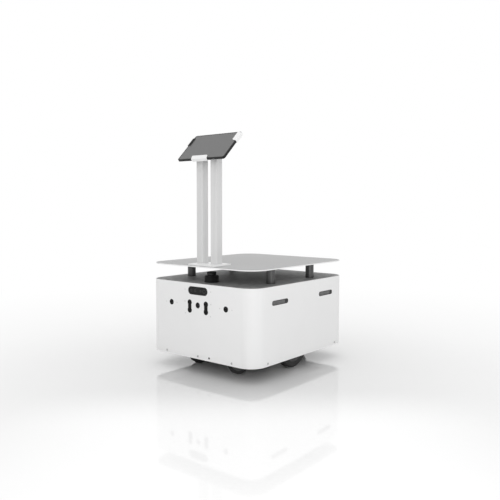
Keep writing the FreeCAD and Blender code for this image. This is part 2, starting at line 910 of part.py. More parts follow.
def mast_head():
    """Cap plate with a plug in each post and two ears that carry the tilt pin."""
    width = post_spacing + post_size
    rear = pivot_y + ear_r
    plate = slab(width, post_size, post_round, post_top, head_top, 0, mast_y)
    ear_out = knuckle_w / 2 + fit_gap + ear_t
    tail = block(-ear_out, ear_out, mast_y, rear, post_top, head_top)
    plug = post_size - 2 * post_wall - 2 * fit_gap
    pieces = [plate, tail]
    for side in (-1, 1):
        pieces.append(slab(plug, plug, 1, post_top - plug_length, post_top + 1,
                           side * post_spacing / 2, mast_y))
        inner = knuckle_w / 2 + fit_gap
        x0 = inner if side > 0 else -inner - ear_t
        foot = block(x0, x0 + ear_t, pivot_y - ear_r, pivot_y + ear_r, head_top - 1, pivot_z)
        eye = Part.makeCylinder(ear_r, ear_t, vec(x0, pivot_y, pivot_z), vec(1, 0, 0))
        pieces += [foot, eye]
    reach = ear_out + 1
    bore = Part.makeCylinder(pin_r + running_gap / 2, 2 * reach, vec(-reach, pivot_y, pivot_z),
                             vec(1, 0, 0))
    return joined(pieces).cut(bore)


def tilt_pin():
    """Hinge pin: a flat head at one end and a lobed hand knob at the other."""
    ear_out = knuckle_w / 2 + fit_gap + ear_t
    shank = rod(pin_r, -ear_out - 1, ear_out + 1)
    head = rod(pin_head_r, -ear_out - pin_head_t, -ear_out)
    knob = rod(knob_r, ear_out, ear_out + knob_t)
    lobes = []
    for number in range(knob_lobes):
        angle = 2 * math.pi * number / knob_lobes
        ring = knob_r + lobe_out
        lobes.append(rod(lobe_r, ear_out - 1, ear_out + knob_t + 1,
                         ring * math.cos(angle), ring * math.sin(angle)))
    pin = joined([shank, head, knob]).cut(lobes)
    pin.rotate(vec(0, 0, 0), vec(0, 1, 0), 90)
    pin.translate(vec(0, pivot_y, pivot_z))
    return pin


# ---------------------------------------------------------------- tablet and holder
# Drawn flat: X across, Y up the face, Z out of it, with the face's middle at the origin.

def tilted(shape):
    placed = shape.copy()
    placed.translate(vec(0, 0, pivot_to_face))
    placed.rotate(vec(0, 0, 0), vec(1, 0, 0), tablet_tilt)
    placed.translate(vec(0, pivot_y, pivot_z))
    return placed


def tablet_body():
    case = slab(tablet_w, tablet_h, tablet_r, -tablet_t, 0)
    case = round_level_edges(case, tablet_edge, (-tablet_t, 0))
    recess = slab(tablet_w - 2 * screen_margin, tablet_h - 2 * screen_margin,
                  tablet_r - screen_margin / 2, -screen_t, 1)
    return tilted(case.cut(recess))


def tablet_screen():
    inset = 2 * screen_margin + 2 * 0.1
    pane = slab(tablet_w - inset, tablet_h - inset, tablet_r - screen_margin / 2, -screen_t, 0)
    return tilted(pane)


def hook(edge, arm, back, over, flare, width, turn, along):
    """Folded hook: an arm behind the tablet, a wall past its edge and a lip over its face.

    edge is the tablet's half size towards the hook, along the place across it.
    """
    wall = edge + fit_gap
    points = [(edge - arm, back), (wall + claw_sheet, back),
              (wall + claw_sheet, fit_gap + claw_sheet * 0.6),
              (edge - over, fit_gap + claw_sheet + flare), (edge - over, fit_gap + flare),
              (wall, fit_gap), (wall, back + claw_sheet), (edge - arm, back + claw_sheet)]
    outline = [vec(x, -width / 2, z) for x, z in points]
    shape = Part.Face(Part.makePolygon(outline + outline[:1])).extrude(vec(0, width, 0))
    corners = [line for line in shape.Edges
               if line.BoundBox.XMax < edge - over + 1e-4 and line.BoundBox.YLength < 1e-4
               and line.BoundBox.ZMin > 0]
    shape = shape.makeFillet(claw_corner, corners)
    shape.translate(vec(0, along, 0))
    shape.rotate(vec(0, 0, 0), vec(0, 0, 1), turn)
    return shape

def tablet_holder():
    """Back plate with two fixed hooks, a guide for the latch and the hinge knuckle."""
    plate = slab(holder_w, holder_h, holder_r, holder_back, -tablet_t)
    bottom = hook(tablet_h / 2, (tablet_h - holder_h) / 2 + bottom_arm, holder_back, claw_over,
                  claw_flare, bottom_claw_w, -90, bottom_claw_x)
    side = hook(tablet_w / 2, (tablet_w - holder_w) / 2 + side_arm, holder_back, claw_over,
                claw_flare, side_claw_w, 0, side_claw_y)
    slot_low = holder_back - claw_sheet - 2 * fit_gap
    slot_half, guide_half = tongue_w / 2 + fit_gap, guide_length / 2
    guide = block(guide_x - guide_half, guide_x + guide_half,
                  latch_y - slot_half - guide_wall, latch_y + slot_half + guide_wall,
                  slot_low - guide_floor, holder_back)
    slot = block(guide_x - guide_half - 1, guide_x + guide_half + 1,
                 latch_y - slot_half, latch_y + slot_half, slot_low, holder_back)
    half = knuckle_w / 2
    eye = Part.makeCylinder(knuckle_r, knuckle_w, vec(-half, 0, -pivot_to_face), vec(1, 0, 0))
    web = block(-half, half, -knuckle_r, knuckle_r, -pivot_to_face, holder_back + 0.5)
    bore = Part.makeCylinder(pin_r + running_gap, knuckle_w + 2,
                             vec(-half - 1, 0, -pivot_to_face), vec(1, 0, 0))
    shape = joined([plate, bottom, side, guide.cut(slot), eye, web]).cut(bore)
    return tilted(shape)


def tablet_latch():
    """Sprung hook on a tongue that slides behind the holder's plate."""
    back = holder_back - fit_gap - claw_sheet
    wall = hook(tablet_w / 2, latch_arm, back, claw_over, latch_flare, latch_w, 180, -latch_y)
    tongue = block(-tablet_w / 2, -tablet_w / 2 + latch_tongue,
                   latch_y - tongue_w / 2, latch_y + tongue_w / 2, back, back + claw_sheet)
    return tilted(joined([wall, tongue]))


# ---------------------------------------------------------------- scanner

def lidar_base():
    low, high, top = cover_top, lidar_window_low, lidar_window_top - lidar_window_wall
    foot, body, rim = lidar_base_r, lidar_base_r - lidar_step, lidar_base_r - lidar_bevel
    return turned([(0, low), (foot, low), (foot, low + lidar_foot_h),
                   (body, low + lidar_foot_h + lidar_step / 2), (body, high - lidar_bevel),
                   (rim, high), (spindle_r, high), (spindle_r, top), (0, top)], 0, lidar_y)


def lidar_window():
    low, high, wall = lidar_window_low, lidar_window_top, lidar_window_wall
    return turned([(lidar_window_low_r, low), (lidar_window_top_r, high),
                   (lidar_window_top_r - wall, high), (lidar_window_low_r - wall, low)], 0, lidar_y)


def lidar_cap():
    r, low, high = lidar_cap_r, lidar_window_top, lidar_window_top + lidar_cap_h
    edge, bend = lidar_cap_edge, lidar_cap_round
    return turned([(0, low), (r - edge, low), (r, low + edge), (r, high - bend),
                   (r - bend, high - bend / 3), (r - lidar_cap_flat, high), (0, high)], 0, lidar_y)


def lidar_rotor():
    """Spinning drum with its mirror cut across it."""
    low, high = lidar_window_low + rotor_low, lidar_window_top - rotor_high
    drum = rod(rotor_r, low, high, 0, lidar_y)
    bore = rod(spindle_r + running_gap, low - 1, high + 1, 0, lidar_y)
    reach = 2 * rotor_r
    mirror = block(0, reach, -reach, reach, -reach, reach)
    mirror.rotate(vec(0, 0, 0), vec(0, 1, 0), -mirror_lean)
    mirror.translate(vec(rotor_r * 0.6, lidar_y, (low + high) / 2))
    return drum.cut([bore, mirror])


# ---------------------------------------------------------------- rear controls

def rear_tray():
    """Pressed tray behind the rear opening that shields the buttons and the inlet."""
    back = front_face - sheet
    outer = slab(tray_w, tray_h, tray_r, tray_floor - sheet, back)
    flange = slab(tray_w + 2 * tray_flange, tray_h + 2 * tray_flange, tray_flange_r, back - sheet, back)
    inner = slab(tray_w - 2 * sheet, tray_h - 2 * sheet, tray_r - sheet, tray_floor, back + 1)
    low, high = tray_floor - sheet - 1, tray_floor + 1
    holes = [rod(estop_stem_r + button_gap, low, high, estop_x),
             rod(power_r + button_gap, low, high),
             slab(socket_w, socket_h, socket_r, low, high, socket_x)]
    return wall_cut(joined([outer, flange]).cut([inner] + holes), 0, tray_z, 180)


def button_collars():
    low = tray_floor
    rings = []
    for x, button_r, outer, height in ((estop_x, estop_stem_r, estop_collar_r, estop_collar_h),
                                       (0, power_r, power_collar_r, power_collar_h)):
        bore, high = button_r + collar_gap, low + height
        ring = turned([(bore, low), (outer, low), (outer, high - collar_edge),
                       (outer - collar_edge, high), (bore, high)], x)
        rings.append(wall_cut(ring, 0, tray_z, 180))
    return group(rings)


def estop_button():
    """Push-pull mushroom button."""
    low = tray_floor - sheet
    head = tray_floor + estop_collar_h + estop_travel + estop_rest
    shape = turned([(0, low), (estop_stem_r, low), (estop_stem_r, head), (estop_r, head),
                    (estop_r, head + estop_r * 0.27), (estop_r * 0.8, head + estop_r * 0.53),
                    (estop_r * 0.47, head + estop_r * 0.63), (0, head + estop_r * 0.65)], estop_x)
    return wall_cut(shape, 0, tray_z, 180)


def power_button():
    """Flat push button with a shallow dish in its face."""
    low, top = tray_floor - 2 * sheet, tray_floor + power_collar_h + power_travel
    edge = power_r * 0.09
    shape = turned([(0, low), (power_r, low), (power_r, top - edge), (power_r - edge, top),
                    (0, top - edge)])
    return wall_cut(shape, 0, tray_z, 180)


def charge_socket():
    """Round inlet with three pins in a flanged block."""
    low = tray_floor
    plug = slab(socket_w - 2 * fit_gap, socket_h - 2 * fit_gap, socket_r,
                low - socket_depth, low + 1, socket_x)
    flange = slab(socket_w + 2 * socket_rim, socket_h + 2 * socket_rim, socket_r + 1,
                  low, low + socket_rim_t, socket_x)
    well = rod(well_r, low - socket_well_depth, low + socket_rim_t + 1, socket_x)
    pins = []
    for number in range(contact_pins):
        angle = math.pi / 2 + 2 * math.pi * number / contact_pins
        pins.append(rod(contact_pin_r, low - socket_well_depth - 1, low + socket_rim_t / 2,
                        socket_x + contact_pin_ring * math.cos(angle),
                        contact_pin_ring * math.sin(angle)))
    return wall_cut(joined([joined([plug, flange]).cut(well)] + pins), 0, tray_z, 180)


def contact_block():
    """Insulating block that carries the docking contacts."""
    back = front_face - sheet
    insert = slab(contact_w - 2 * fit_gap, contact_h - 2 * fit_gap, contact_r, back - 1,
                  front_face + contact_proud)
    flange = slab(contact_w + 2 * contact_flange, contact_h + 2 * contact_flange,
                  contact_r + 2, back - contact_flange_t, back)
    return wall_cut(joined([insert, flange]), 0, contact_z, 180)


def dock_contacts():
    low, high = front_face + contact_proud, front_face + contact_proud + strip_t
    strips = []
    for side in (-1, 1):
        strip = round_level_edges(slab(strip_w, strip_h, strip_r, low, high, side * strip_x),
                                  strip_edge, (high,))
        strips.append(wall_cut(strip, 0, contact_z, 180))
    return group(strips)


# ---------------------------------------------------------------- drive wheels

def on_wheel_axis(shape, side):
    """Turns a shape drawn about Z, outer end up, to the drive axle of one side."""
    placed = shape.copy()
    placed.rotate(vec(0, 0, 0), vec(0, 1, 0), 90 * side)
    placed.translate(vec(side * wheel_x, wheel_y, wheel_r))
    return placed


def drive_tyre(side):
    half, tread_half = wheel_w / 2, wheel_w / 2 - tyre_shoulder
    profile = [(hub_r, -half + rim_sink), (hub_r + bead_h, -half), (wheel_r - tyre_shoulder, -half),
               (wheel_r, -tread_half)]
    for centre in (-groove_pitch, 0.0, groove_pitch):
        profile += [(wheel_r, centre - groove_w / 2), (wheel_r - groove_deep, centre - groove_w / 3),
                    (wheel_r - groove_deep, centre + groove_w / 3), (wheel_r, centre + groove_w / 2)]
    profile += [(wheel_r, tread_half), (wheel_r - tyre_shoulder, half), (hub_r + bead_h, half),
                (hub_r, half - rim_sink)]
    return on_wheel_axis(turned(profile), side)


def drive_hub(side):
    """Hub motor: a wide rim with a dished cover on each face, bored for the axle."""
    outer, inner = wheel_w / 2 - rim_sink, wheel_w / 2 - hub_dish
    bore = axle_r + running_gap
    rim_r = hub_r - rim_w
    upper = [(hub_r, outer), (rim_r, outer), (rim_r - hub_slope, inner),
             (hub_boss_r + hub_slope, inner), (hub_boss_r, outer), (bore, outer)]
    lower = [(r, -z) for r, z in reversed(upper)]
    return on_wheel_axis(turned(lower + upper), side)


def drive_bracket(side):
    """Angle bracket under the chassis plate, with the fixed axle clamped in it."""
    outer = wheel_x - wheel_w / 2 - bracket_off
    inner = outer - bracket_t
    low = wheel_r - bracket_below
    upright = block(inner, outer, -bracket_w / 2, bracket_w / 2, low, plate_z)
    foot = block(outer - bracket_foot, outer, -bracket_w / 2, bracket_w / 2,
                 plate_z - bracket_t, plate_z)
    gussets = []
    for y in (-bracket_w / 2, bracket_w / 2 - bracket_t):
        points = [vec(inner + 1, y, plate_z - 1), vec(inner - gusset_in, y, plate_z - bracket_t + 1),
                  vec(inner + 1, y, low + bracket_t)]
        gussets.append(Part.Face(Part.makePolygon(points + points[:1])).extrude(vec(0, bracket_t, 0)))
    axle_out = wheel_x + wheel_w / 2 - axle_short

    def along_axle(radius, start, end):
        return Part.makeCylinder(radius, end - start, vec(start, 0, wheel_r), vec(1, 0, 0))

    axle = along_axle(axle_r, inner - axle_tail, axle_out)
    boss = along_axle(axle_boss_r, outer, outer + axle_boss_t)
    nut = along_axle(axle_nut_r, inner - axle_nut_t, inner)
    shape = joined([upright, foot, axle, boss, nut] + gussets)
    shape.translate(vec(0, wheel_y, 0))
    if side < 0:
        shape = shape.mirror(vec(0, 0, 0), vec(1, 0, 0))
    return shape


# ---------------------------------------------------------------- casters
# Drawn with the swivel axis on Z and the wheel out along +X.

def on_swivel(shape, name):
    side_x, side_y, heading = casters[name]
    placed = shape.copy()
    placed.rotate(vec(0, 0, 0), vec(0, 0, 1), heading)
    placed.translate(vec(side_x * caster_x, side_y * caster_y, 0))
    return placed


def caster_mounts():
    """Top plates with their bearing housings, bored for the kingpins."""
    mounts = []
    low, high, r = housing_low, plate_z - caster_plate_t, housing_r
    for x, y in four_corners(caster_x, caster_y):
        plate = slab(caster_plate_w, caster_plate_d, caster_plate_r, high, plate_z, x, y)
        housing = turned([(0, low), (r - housing_edge, low), (r, low + housing_edge),
                          (r, high - housing_flare), (r + housing_flare, high), (0, high)], x, y)
        bore = rod(kingpin_r + running_gap, low - 1, high - 1, x, y)
        mounts.append(joined([plate, housing]).cut(bore))
    return group(mounts)


def fork_leg(y0):
    """Side plate that narrows from the crown to the axle eye."""
    top = crown_top - crown_gap
    eye = Part.makeCylinder(eye_r, fork_sheet, vec(caster_trail, y0, caster_r), vec(0, 1, 0))
    points = [vec(-leg_front, y0, top - crown_t / 2), vec(leg_rear, y0, top - crown_t / 2),
              vec(caster_trail + eye_r, y0, caster_r), vec(caster_trail - eye_r, y0, caster_r)]
    web = Part.Face(Part.makePolygon(points + points[:1])).extrude(vec(0, fork_sheet, 0))
    return [eye, web]


def caster_fork(name):
    outer = 2 * (fork_half + fork_sheet)
    top = crown_top - crown_gap
    crown = slab(crown_length, outer, crown_r, top - crown_t, top, 1)
    race = rod(race_r, top - 0.5, crown_top)
    kingpin = rod(kingpin_r, top - 0.5, plate_z - caster_plate_t - 1 - kingpin_end)
    pieces = [crown, race, kingpin] + fork_leg(fork_half) + fork_leg(-fork_half - fork_sheet)
    reach = outer / 2 + axle_cap_t
    for radius, start, length in ((caster_axle_r, -reach, 2 * reach), (axle_cap_r, -reach, axle_cap_t),
                                  (axle_cap_r, outer / 2, axle_cap_t)):
        pieces.append(Part.makeCylinder(radius, length, vec(caster_trail, start, caster_r),
                                        vec(0, 1, 0)))
    return on_swivel(joined(pieces), name)


def caster_wheel(name):
    """Tread on a dished rim, with a boss that fills the fork."""
    half, r = caster_w / 2, caster_r
    side, dish = half - caster_side, half - caster_dish
    bore = caster_axle_r + running_gap
    rim_r = r - caster_tread
    upper = [(r, side - caster_bevel), (r - caster_bevel, side), (rim_r, side),
             (rim_r - caster_bevel, dish), (caster_boss_r + caster_bevel, dish),
             (caster_boss_r, half), (bore, half)]
    lower = [(radius, -height) for radius, height in reversed(upper)]
    wheel = turned(lower + upper)
    wheel.rotate(vec(0, 0, 0), vec(1, 0, 0), 90)
    wheel.translate(vec(caster_trail, 0, caster_r))
    return on_swivel(wheel, name)


# ---------------------------------------------------------------- write the parts

os.makedirs("parts", exist_ok=True)

for make in (shell_skirt, top_cover, bottom_pan, chassis_plate, frame_uprights, battery_pack,
             battery_clamp, depth_camera_bezel, depth_camera_body, depth_camera_lenses,
             depth_camera_window, front_camera, front_camera_lens, sonar_housings, sonar_cans,
             sonar_boards, dock_receiver, shell_screws, deck_standoffs, deck_plate, deck_screws,
             mast_flange, mast_head, tilt_pin, tablet_body, tablet_screen, tablet_holder,
             tablet_latch, lidar_base, lidar_window, lidar_cap, lidar_rotor, rear_tray,
             button_collars, estop_button, power_button, charge_socket, contact_block,
             dock_contacts, caster_mounts):
    save(make.__name__, make())

save("onboard_computer", finned_box("computer", computer_w, computer_h, computer_fins))
save("motor_driver", finned_box("driver", driver_w, driver_h, driver_fins))
save("side_vents_right", side_vents(90))
save("side_vents_left", side_vents(270))

for side_name, side_sign in (("left", -1), ("right", 1)):
    save("mast_post_" + side_name, mast_post(side_sign))
    save("drive_tyre_" + side_name, drive_tyre(side_sign))
    save("drive_hub_" + side_name, drive_hub(side_sign))
    save("drive_bracket_" + side_name, drive_bracket(side_sign))

for caster_name in casters:
    save("caster_fork_" + caster_name, caster_fork(caster_name))
    save("caster_wheel_" + caster_name, caster_wheel(caster_name))
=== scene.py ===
import bmesh
import bpy
import json
from math import pi, radians
from mathutils import Matrix, Vector


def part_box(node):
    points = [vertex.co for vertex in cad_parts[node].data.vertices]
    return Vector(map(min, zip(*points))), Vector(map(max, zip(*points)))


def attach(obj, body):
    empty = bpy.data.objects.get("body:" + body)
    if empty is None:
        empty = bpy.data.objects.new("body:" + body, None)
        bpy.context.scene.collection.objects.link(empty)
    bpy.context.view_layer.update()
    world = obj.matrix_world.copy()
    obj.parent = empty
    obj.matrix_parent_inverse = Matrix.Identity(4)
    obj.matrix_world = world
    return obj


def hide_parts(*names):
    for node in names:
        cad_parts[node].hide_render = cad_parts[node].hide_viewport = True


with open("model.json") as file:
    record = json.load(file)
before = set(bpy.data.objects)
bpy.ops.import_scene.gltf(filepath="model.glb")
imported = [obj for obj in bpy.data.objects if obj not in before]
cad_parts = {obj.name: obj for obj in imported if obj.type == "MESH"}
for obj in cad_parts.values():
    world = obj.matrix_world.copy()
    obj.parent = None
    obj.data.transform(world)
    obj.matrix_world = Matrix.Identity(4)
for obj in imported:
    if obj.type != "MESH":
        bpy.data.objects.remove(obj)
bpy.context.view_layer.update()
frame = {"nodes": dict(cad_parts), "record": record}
nodes = frame["nodes"]
body_of_node = {node: body for body, members in frame["record"]["behaviour"]["bodies"].items()
                for node in members}


# ---- Camera ----
# It stands low in front of the sensor face's right-hand corner, a little above the deck.

camera_turn = radians(39.11)
camera_dip = radians(4.07)
camera_lean = radians(0.12)
camera_place = (1.4504, -1.7842, 0.5849)
camera = bpy.data.objects.new("camera", bpy.data.cameras.new("camera"))
bpy.context.scene.collection.objects.link(camera)
camera.data.sensor_width = 36.0
camera.data.lens = 43.41
camera.matrix_world = (Matrix.Translation(camera_place)
                       @ Matrix.Rotation(camera_turn, 4, "Z")
                       @ Matrix.Rotation(pi / 2 - camera_dip, 4, "X")
                       @ Matrix.Rotation(camera_lean, 4, "Z"))
bpy.context.scene.camera = camera


# ---- Skirt ----
# One folded steel sheet round four corners, in satin light-grey powder coat.  Its rim and
# foot are turned in, and a little dust gathers along the foot.  The foot's lowest band is
# painted lighter as a painted highlight.

class Wire:
    """A shader value that takes part in Python sums."""

    def __init__(self, finish, socket):
        self.finish = finish
        self.socket = socket

    def __add__(self, other):
        return self.finish.maths("ADD", self, other)

    def __radd__(self, other):
        return self.finish.maths("ADD", other, self)

    def __sub__(self, other):
        return self.finish.maths("SUBTRACT", self, other)

    def __rsub__(self, other):
        return self.finish.maths("SUBTRACT", other, self)

    def __mul__(self, other):
        return self.finish.maths("MULTIPLY", self, other)

    def __rmul__(self, other):
        return self.finish.maths("MULTIPLY", other, self)


class Finish:
    """One procedural surface: a node tree on Object coordinates, in metres."""

    def __init__(self, name, **fixed):
        self.material = bpy.data.materials.new(name)
        self.material.use_nodes = True
        self.tree = self.material.node_tree
        self.shader = self.tree.nodes["Principled BSDF"]
        for socket, value in fixed.items():
            self.shader.inputs[socket.replace("_", " ")].default_value = value
        self.place = self.node("TexCoord", output="Object")

    def node(self, kind, settings=None, inputs=None, output=0):
        made = self.tree.nodes.new("ShaderNode" + kind)
        for key, value in (settings or {}).items():
            setattr(made, key, value)
        for key, value in (inputs or {}).items():
            if isinstance(value, Wire):
                self.tree.links.new(value.socket, made.inputs[key])
            else:
                made.inputs[key].default_value = value
        return Wire(self, made.outputs[output])

    def maths(self, operation, *values):
        return self.node("Math", {"operation": operation}, dict(enumerate(values)))

    def stretched(self, scale):
        return self.node("Mapping", None, {"Vector": self.place, "Scale": scale})

    def noise(self, scale, detail=3.0, place=None):
        return self.node("TexNoise", None, {"Vector": place or self.place, "Scale": scale,
                                            "Detail": detail})

    def axis(self, letter):
        return self.node("SeparateXYZ", None, {0: self.place}, letter)

    def ramp(self, value, low, high):
        """0 below low, 1 above high, smooth between them."""
        return self.node("MapRange", {"interpolation_type": "SMOOTHSTEP"},
                         {"Value": value, "From Min": low, "From Max": high})

    def mix(self, mask, one, other):
        """A colour or grey: one where the mask is 0, other where it is 1."""
        made = self.tree.nodes.new("ShaderNodeMix")
        made.data_type = "RGBA"
        self.tree.links.new(mask.socket, made.inputs[0])
        for socket, value in ((made.inputs[6], one), (made.inputs[7], other)):
            if isinstance(value, Wire):
                self.tree.links.new(value.socket, socket)
            elif isinstance(value, (int, float)):
                socket.default_value = (value, value, value, 1.0)
            else:
                socket.default_value = (*value, 1.0)
        return Wire(self, made.outputs[2])

    def put(self, socket, value):
        self.tree.links.new(value.socket, self.shader.inputs[socket])

    def relief(self, height, depth):
        bump = self.node("Bump", None, {"Height": height, "Distance": depth, "Strength": 1.0})
        self.put("Normal", bump)


def powder_coat(name, light, dark, roughness=0.42, grain=1400.0, depth=0.00006, gloss=0.12):
    """Sprayed powder: fine orange peel, faint clouds in its colour and its gloss."""
    coat = Finish(name, Coat_Roughness=0.25, Coat_Weight=gloss)
    coat.cloud = coat.noise(9.0, 4.0)
    coat.peel = coat.noise(grain, 2.0)
    coat.colour = coat.mix(coat.cloud, dark, light)
    coat.put("Base Color", coat.colour)
    coat.put("Roughness", (coat.cloud - 0.5) * 0.12 + (coat.peel - 0.5) * 0.06 + roughness)
    coat.relief(coat.peel, depth)
    return coat


crease = radians(32)      # an edge that turns further than this stays sharp
same_point = 0.000002     # corners nearer to each other than this are one


def make_piece(shape, name, finish, body, soften=0.0, segments=2):
    """Turns a bmesh into a smooth-shaded piece that rides on a body."""
    for face in shape.faces:
        face.smooth = True
    for edge in shape.edges:
        edge.smooth = edge.calc_face_angle(0.0) < crease
    mesh = bpy.data.meshes.new(name)
    shape.to_mesh(mesh)
    shape.free()
    piece = bpy.data.objects.new(name, mesh)
    bpy.context.scene.collection.objects.link(piece)
    mesh.materials.append(finish.material)
    if soften:
        edge_round = piece.modifiers.new("softened edges", "BEVEL")
        edge_round.width = soften
        edge_round.segments = segments
        edge_round.limit_method = "ANGLE"
        edge_round.angle_limit = crease
        edge_round.harden_normals = False
    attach(piece, body)
    return piece


def dress(node, finish, soften=0.0005, segments=2):
    """The node's solid as one smooth-shaded piece with softened edges."""
    shape = bmesh.new()
    shape.from_mesh(nodes[node].data)
    bmesh.ops.remove_doubles(shape, verts=shape.verts, dist=same_point)
    bmesh.ops.dissolve_limit(shape, angle_limit=radians(0.5), verts=shape.verts,
                             edges=shape.edges)
    piece = make_piece(shape, node + "_piece", finish, body_of_node[node],
                       soften, segments)
    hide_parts(node)
    return piece


front_face = 0.2875       # from the middle to the skirt's outer face, front and rear
side_face = 0.250
seam_x = 0.19             # the sheet's closing seam, down the rear face
dust_low, dust_high = 0.056, 0.082
roll_low, roll_high = 0.0555, 0.0575

shell_paint = powder_coat("shell_powder_coat", (0.86, 0.86, 0.86), (0.83, 0.83, 0.83),
                          0.40, 1500.0, 0.00003)
height = shell_paint.axis("Z")
dust = (1.0 - shell_paint.ramp(height, dust_low, dust_high)) * shell_paint.noise(45.0, 5.0)
dusted = shell_paint.mix(dust * 0.25, shell_paint.colour, (0.66, 0.65, 0.63))
# Painted highlight: the lowest band of the foot is painted lighter than the coat.
painted_foot_highlight = 1.0 - shell_paint.ramp(height, roll_low, roll_high)
dusted_and_highlit = shell_paint.mix(painted_foot_highlight, dusted, 0.90)
from_seam = shell_paint.maths("ABSOLUTE", shell_paint.axis("X") - seam_x)
rear_face = shell_paint.ramp(shell_paint.axis("Y"), 0.286, 0.287)
seam = (1.0 - shell_paint.ramp(from_seam, 0.0003, 0.0007)) * rear_face
shell_paint.put("Base Color", shell_paint.mix(seam, dusted_and_highlit, 0.34))
shell_paint.relief(shell_paint.peel * 0.1 - seam, 0.0003)
dress("shell_skirt", shell_paint, 0.0004)


# ---- Skirt screws ----
# Zinc button heads along the skirt's foot pull it onto the pan's upturned wall, and small
# painted flush heads round the sensors hold the frames behind them.  All have hexagonal
# sockets.

zinc = Finish("zinc_plate", Metallic=1.0)
plating = zinc.noise(260.0, 4.0)
zinc.put("Base Color", zinc.mix(plating, 0.42, 0.58))
zinc.put("Roughness", plating * 0.2 + 0.25)
zinc.relief(plating, 0.00004)


def add_screw(shape, place, rings):
    """Stacks rings of (radius, height, sides) along Z of the place and closes both ends."""
    loops = []
    for radius, rise, sides in rings:
        made = bmesh.ops.create_circle(shape, cap_ends=False, segments=sides, radius=radius,
                                       matrix=place @ Matrix.Translation((0, 0, rise)))
        loops.append(list({edge for vert in made["verts"] for edge in vert.link_edges}))
    for lower, upper in zip(loops, loops[1:]):
        bmesh.ops.bridge_loops(shape, edges=lower + upper)
    for end in (loops[0], loops[-1]):
        bmesh.ops.contextual_create(shape, geom=end)


def on_wall(along, height, turn, out):
    """Z of the place points out of a wall: turn 0 is the front, 90 the +X side."""
    return (Matrix.Rotation(radians(turn), 4, "Z")
            @ Matrix.Translation((along, -out, height)) @ Matrix.Rotation(pi / 2, 4, "X"))


button_head = ((0.0020, -0.0070, 16), (0.0020, 0.0, 16), (0.0038, 0.0, 24),
               (0.0038, 0.0006, 24), (0.0027, 0.0019, 24), (0.0016, 0.0021, 24),
               (0.0013, 0.0021, 6), (0.0013, 0.0008, 6))
button_height = 0.0645
end_buttons = (-0.1556, 0.0, 0.1556)
side_buttons = (-0.212, 0.212)
heads = bmesh.new()
for turn, wall, places in ((0, front_face, end_buttons), (90, side_face, side_buttons),
                           (180, front_face, end_buttons), (270, side_face, side_buttons)):
    for along in places:
        add_screw(heads, on_wall(along, button_height, turn, wall), button_head)
bmesh.ops.recalc_face_normals(heads, faces=heads.faces)
head_piece = make_piece(heads, "skirt_button_screws", zinc, "chassis")
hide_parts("shell_screws")

painted_zinc = powder_coat("painted_screw", (0.66, 0.66, 0.66), (0.60, 0.60, 0.60), 0.4, 1800.0)
flush_head = ((0.0012, -0.0030, 12), (0.0012, -0.0012, 12), (0.0022, 0.00015, 20),
              (0.0010, 0.00015, 20), (0.0009, 0.00015, 6), (0.0009, -0.0008, 6))
frame_screws = ((0.0615, 0.296), (0.062, 0.253), (0.060, 0.211), (0.103, 0.2437),
                (0.157, 0.2437))
small_heads = bmesh.new()
for side in (-1, 1):
    for along, up in frame_screws:
        add_screw(small_heads, on_wall(side * along, up, 0, front_face), flush_head)
bmesh.ops.recalc_face_normals(small_heads, faces=small_heads.faces)
make_piece(small_heads, "sensor_frame_screws", painted_zinc, "chassis")


# ---- Top cover ----
# Sheet set just below the skirt's rim, in a mottled dark grey coat that the deck shades.

cover_paint = powder_coat("cover_powder_coat", (0.31, 0.31, 0.31), (0.24, 0.24, 0.24),
                          0.55, 700.0, 0.00008, 0.0)
mottle = cover_paint.noise(55.0, 6.0)
cover_paint.put("Base Color", cover_paint.mix(cover_paint.ramp(mottle, 0.35, 0.65),
                                              0.20, cover_paint.colour))
dress("top_cover", cover_paint, 0.0006)


# ---- Deck ----
# Thick aluminium plate with round corners, in a fine-grained coat whose top is painted a
# darker grey as painted shade and whose rims are painted light as a painted highlight,
# bolted down to four black turned pillars by countersunk socket screws.

# Painted shade: the plate's top is painted a darker grey than its rims.
deck_paint = powder_coat("deck_coat_painted_shade", (0.45, 0.45, 0.45), (0.41, 0.41, 0.41),
                         0.5, 1100.0, 0.00005, 0.0)
deck_paint.shader.inputs["Specular IOR Level"].default_value = 0.3
deck_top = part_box("deck_plate")[1][2]
below_top = deck_top - deck_paint.axis("Z")
# Painted highlight: the plate's edges, below its top, are painted light.
painted_edge_highlight = deck_paint.ramp(below_top, 0.0002, 0.0006)
deck_paint.put("Base Color", deck_paint.mix(painted_edge_highlight, deck_paint.colour, 0.88))
dress("deck_plate", deck_paint, 0.0)

pillar_black = Finish("black_anodised", Metallic=0.85)
turning = pillar_black.noise(1.0, 2.0, pillar_black.stretched((60.0, 60.0, 2600.0)))
pillar_black.put("Base Color", pillar_black.mix(turning, 0.07, 0.13))
pillar_black.put("Roughness", turning * 0.1 + 0.24)
dress("deck_standoffs", pillar_black, 0.0003)

deck_screw = ((0.0030, -0.0170, 16), (0.0030, -0.0030, 16), (0.0060, 0.0, 32),
              (0.0034, 0.0, 32), (0.0028, 0.0, 6), (0.0028, -0.0020, 6))
pillar_x, pillar_y = 0.192, 0.1215
head_sink = 0.0001        # a countersunk head lies this far below the face round it
screws = bmesh.new()
for side in (-1, 1):
    for end in (-1, 1):
        place = Matrix.Translation((side * pillar_x, end * pillar_y, deck_top - head_sink))
        add_screw(screws, place, deck_screw)
bmesh.ops.recalc_face_normals(screws, faces=screws.faces)
screw_piece = make_piece(screws, "deck_socket_screws", zinc, "chassis")
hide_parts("deck_screws")


# ---- Mast ----
# White flange bolted on the deck's front edge, with two square tubes welded to it by a
# rippled bead.  A black head plate caps the tubes and carries the tablet's hinge ears.

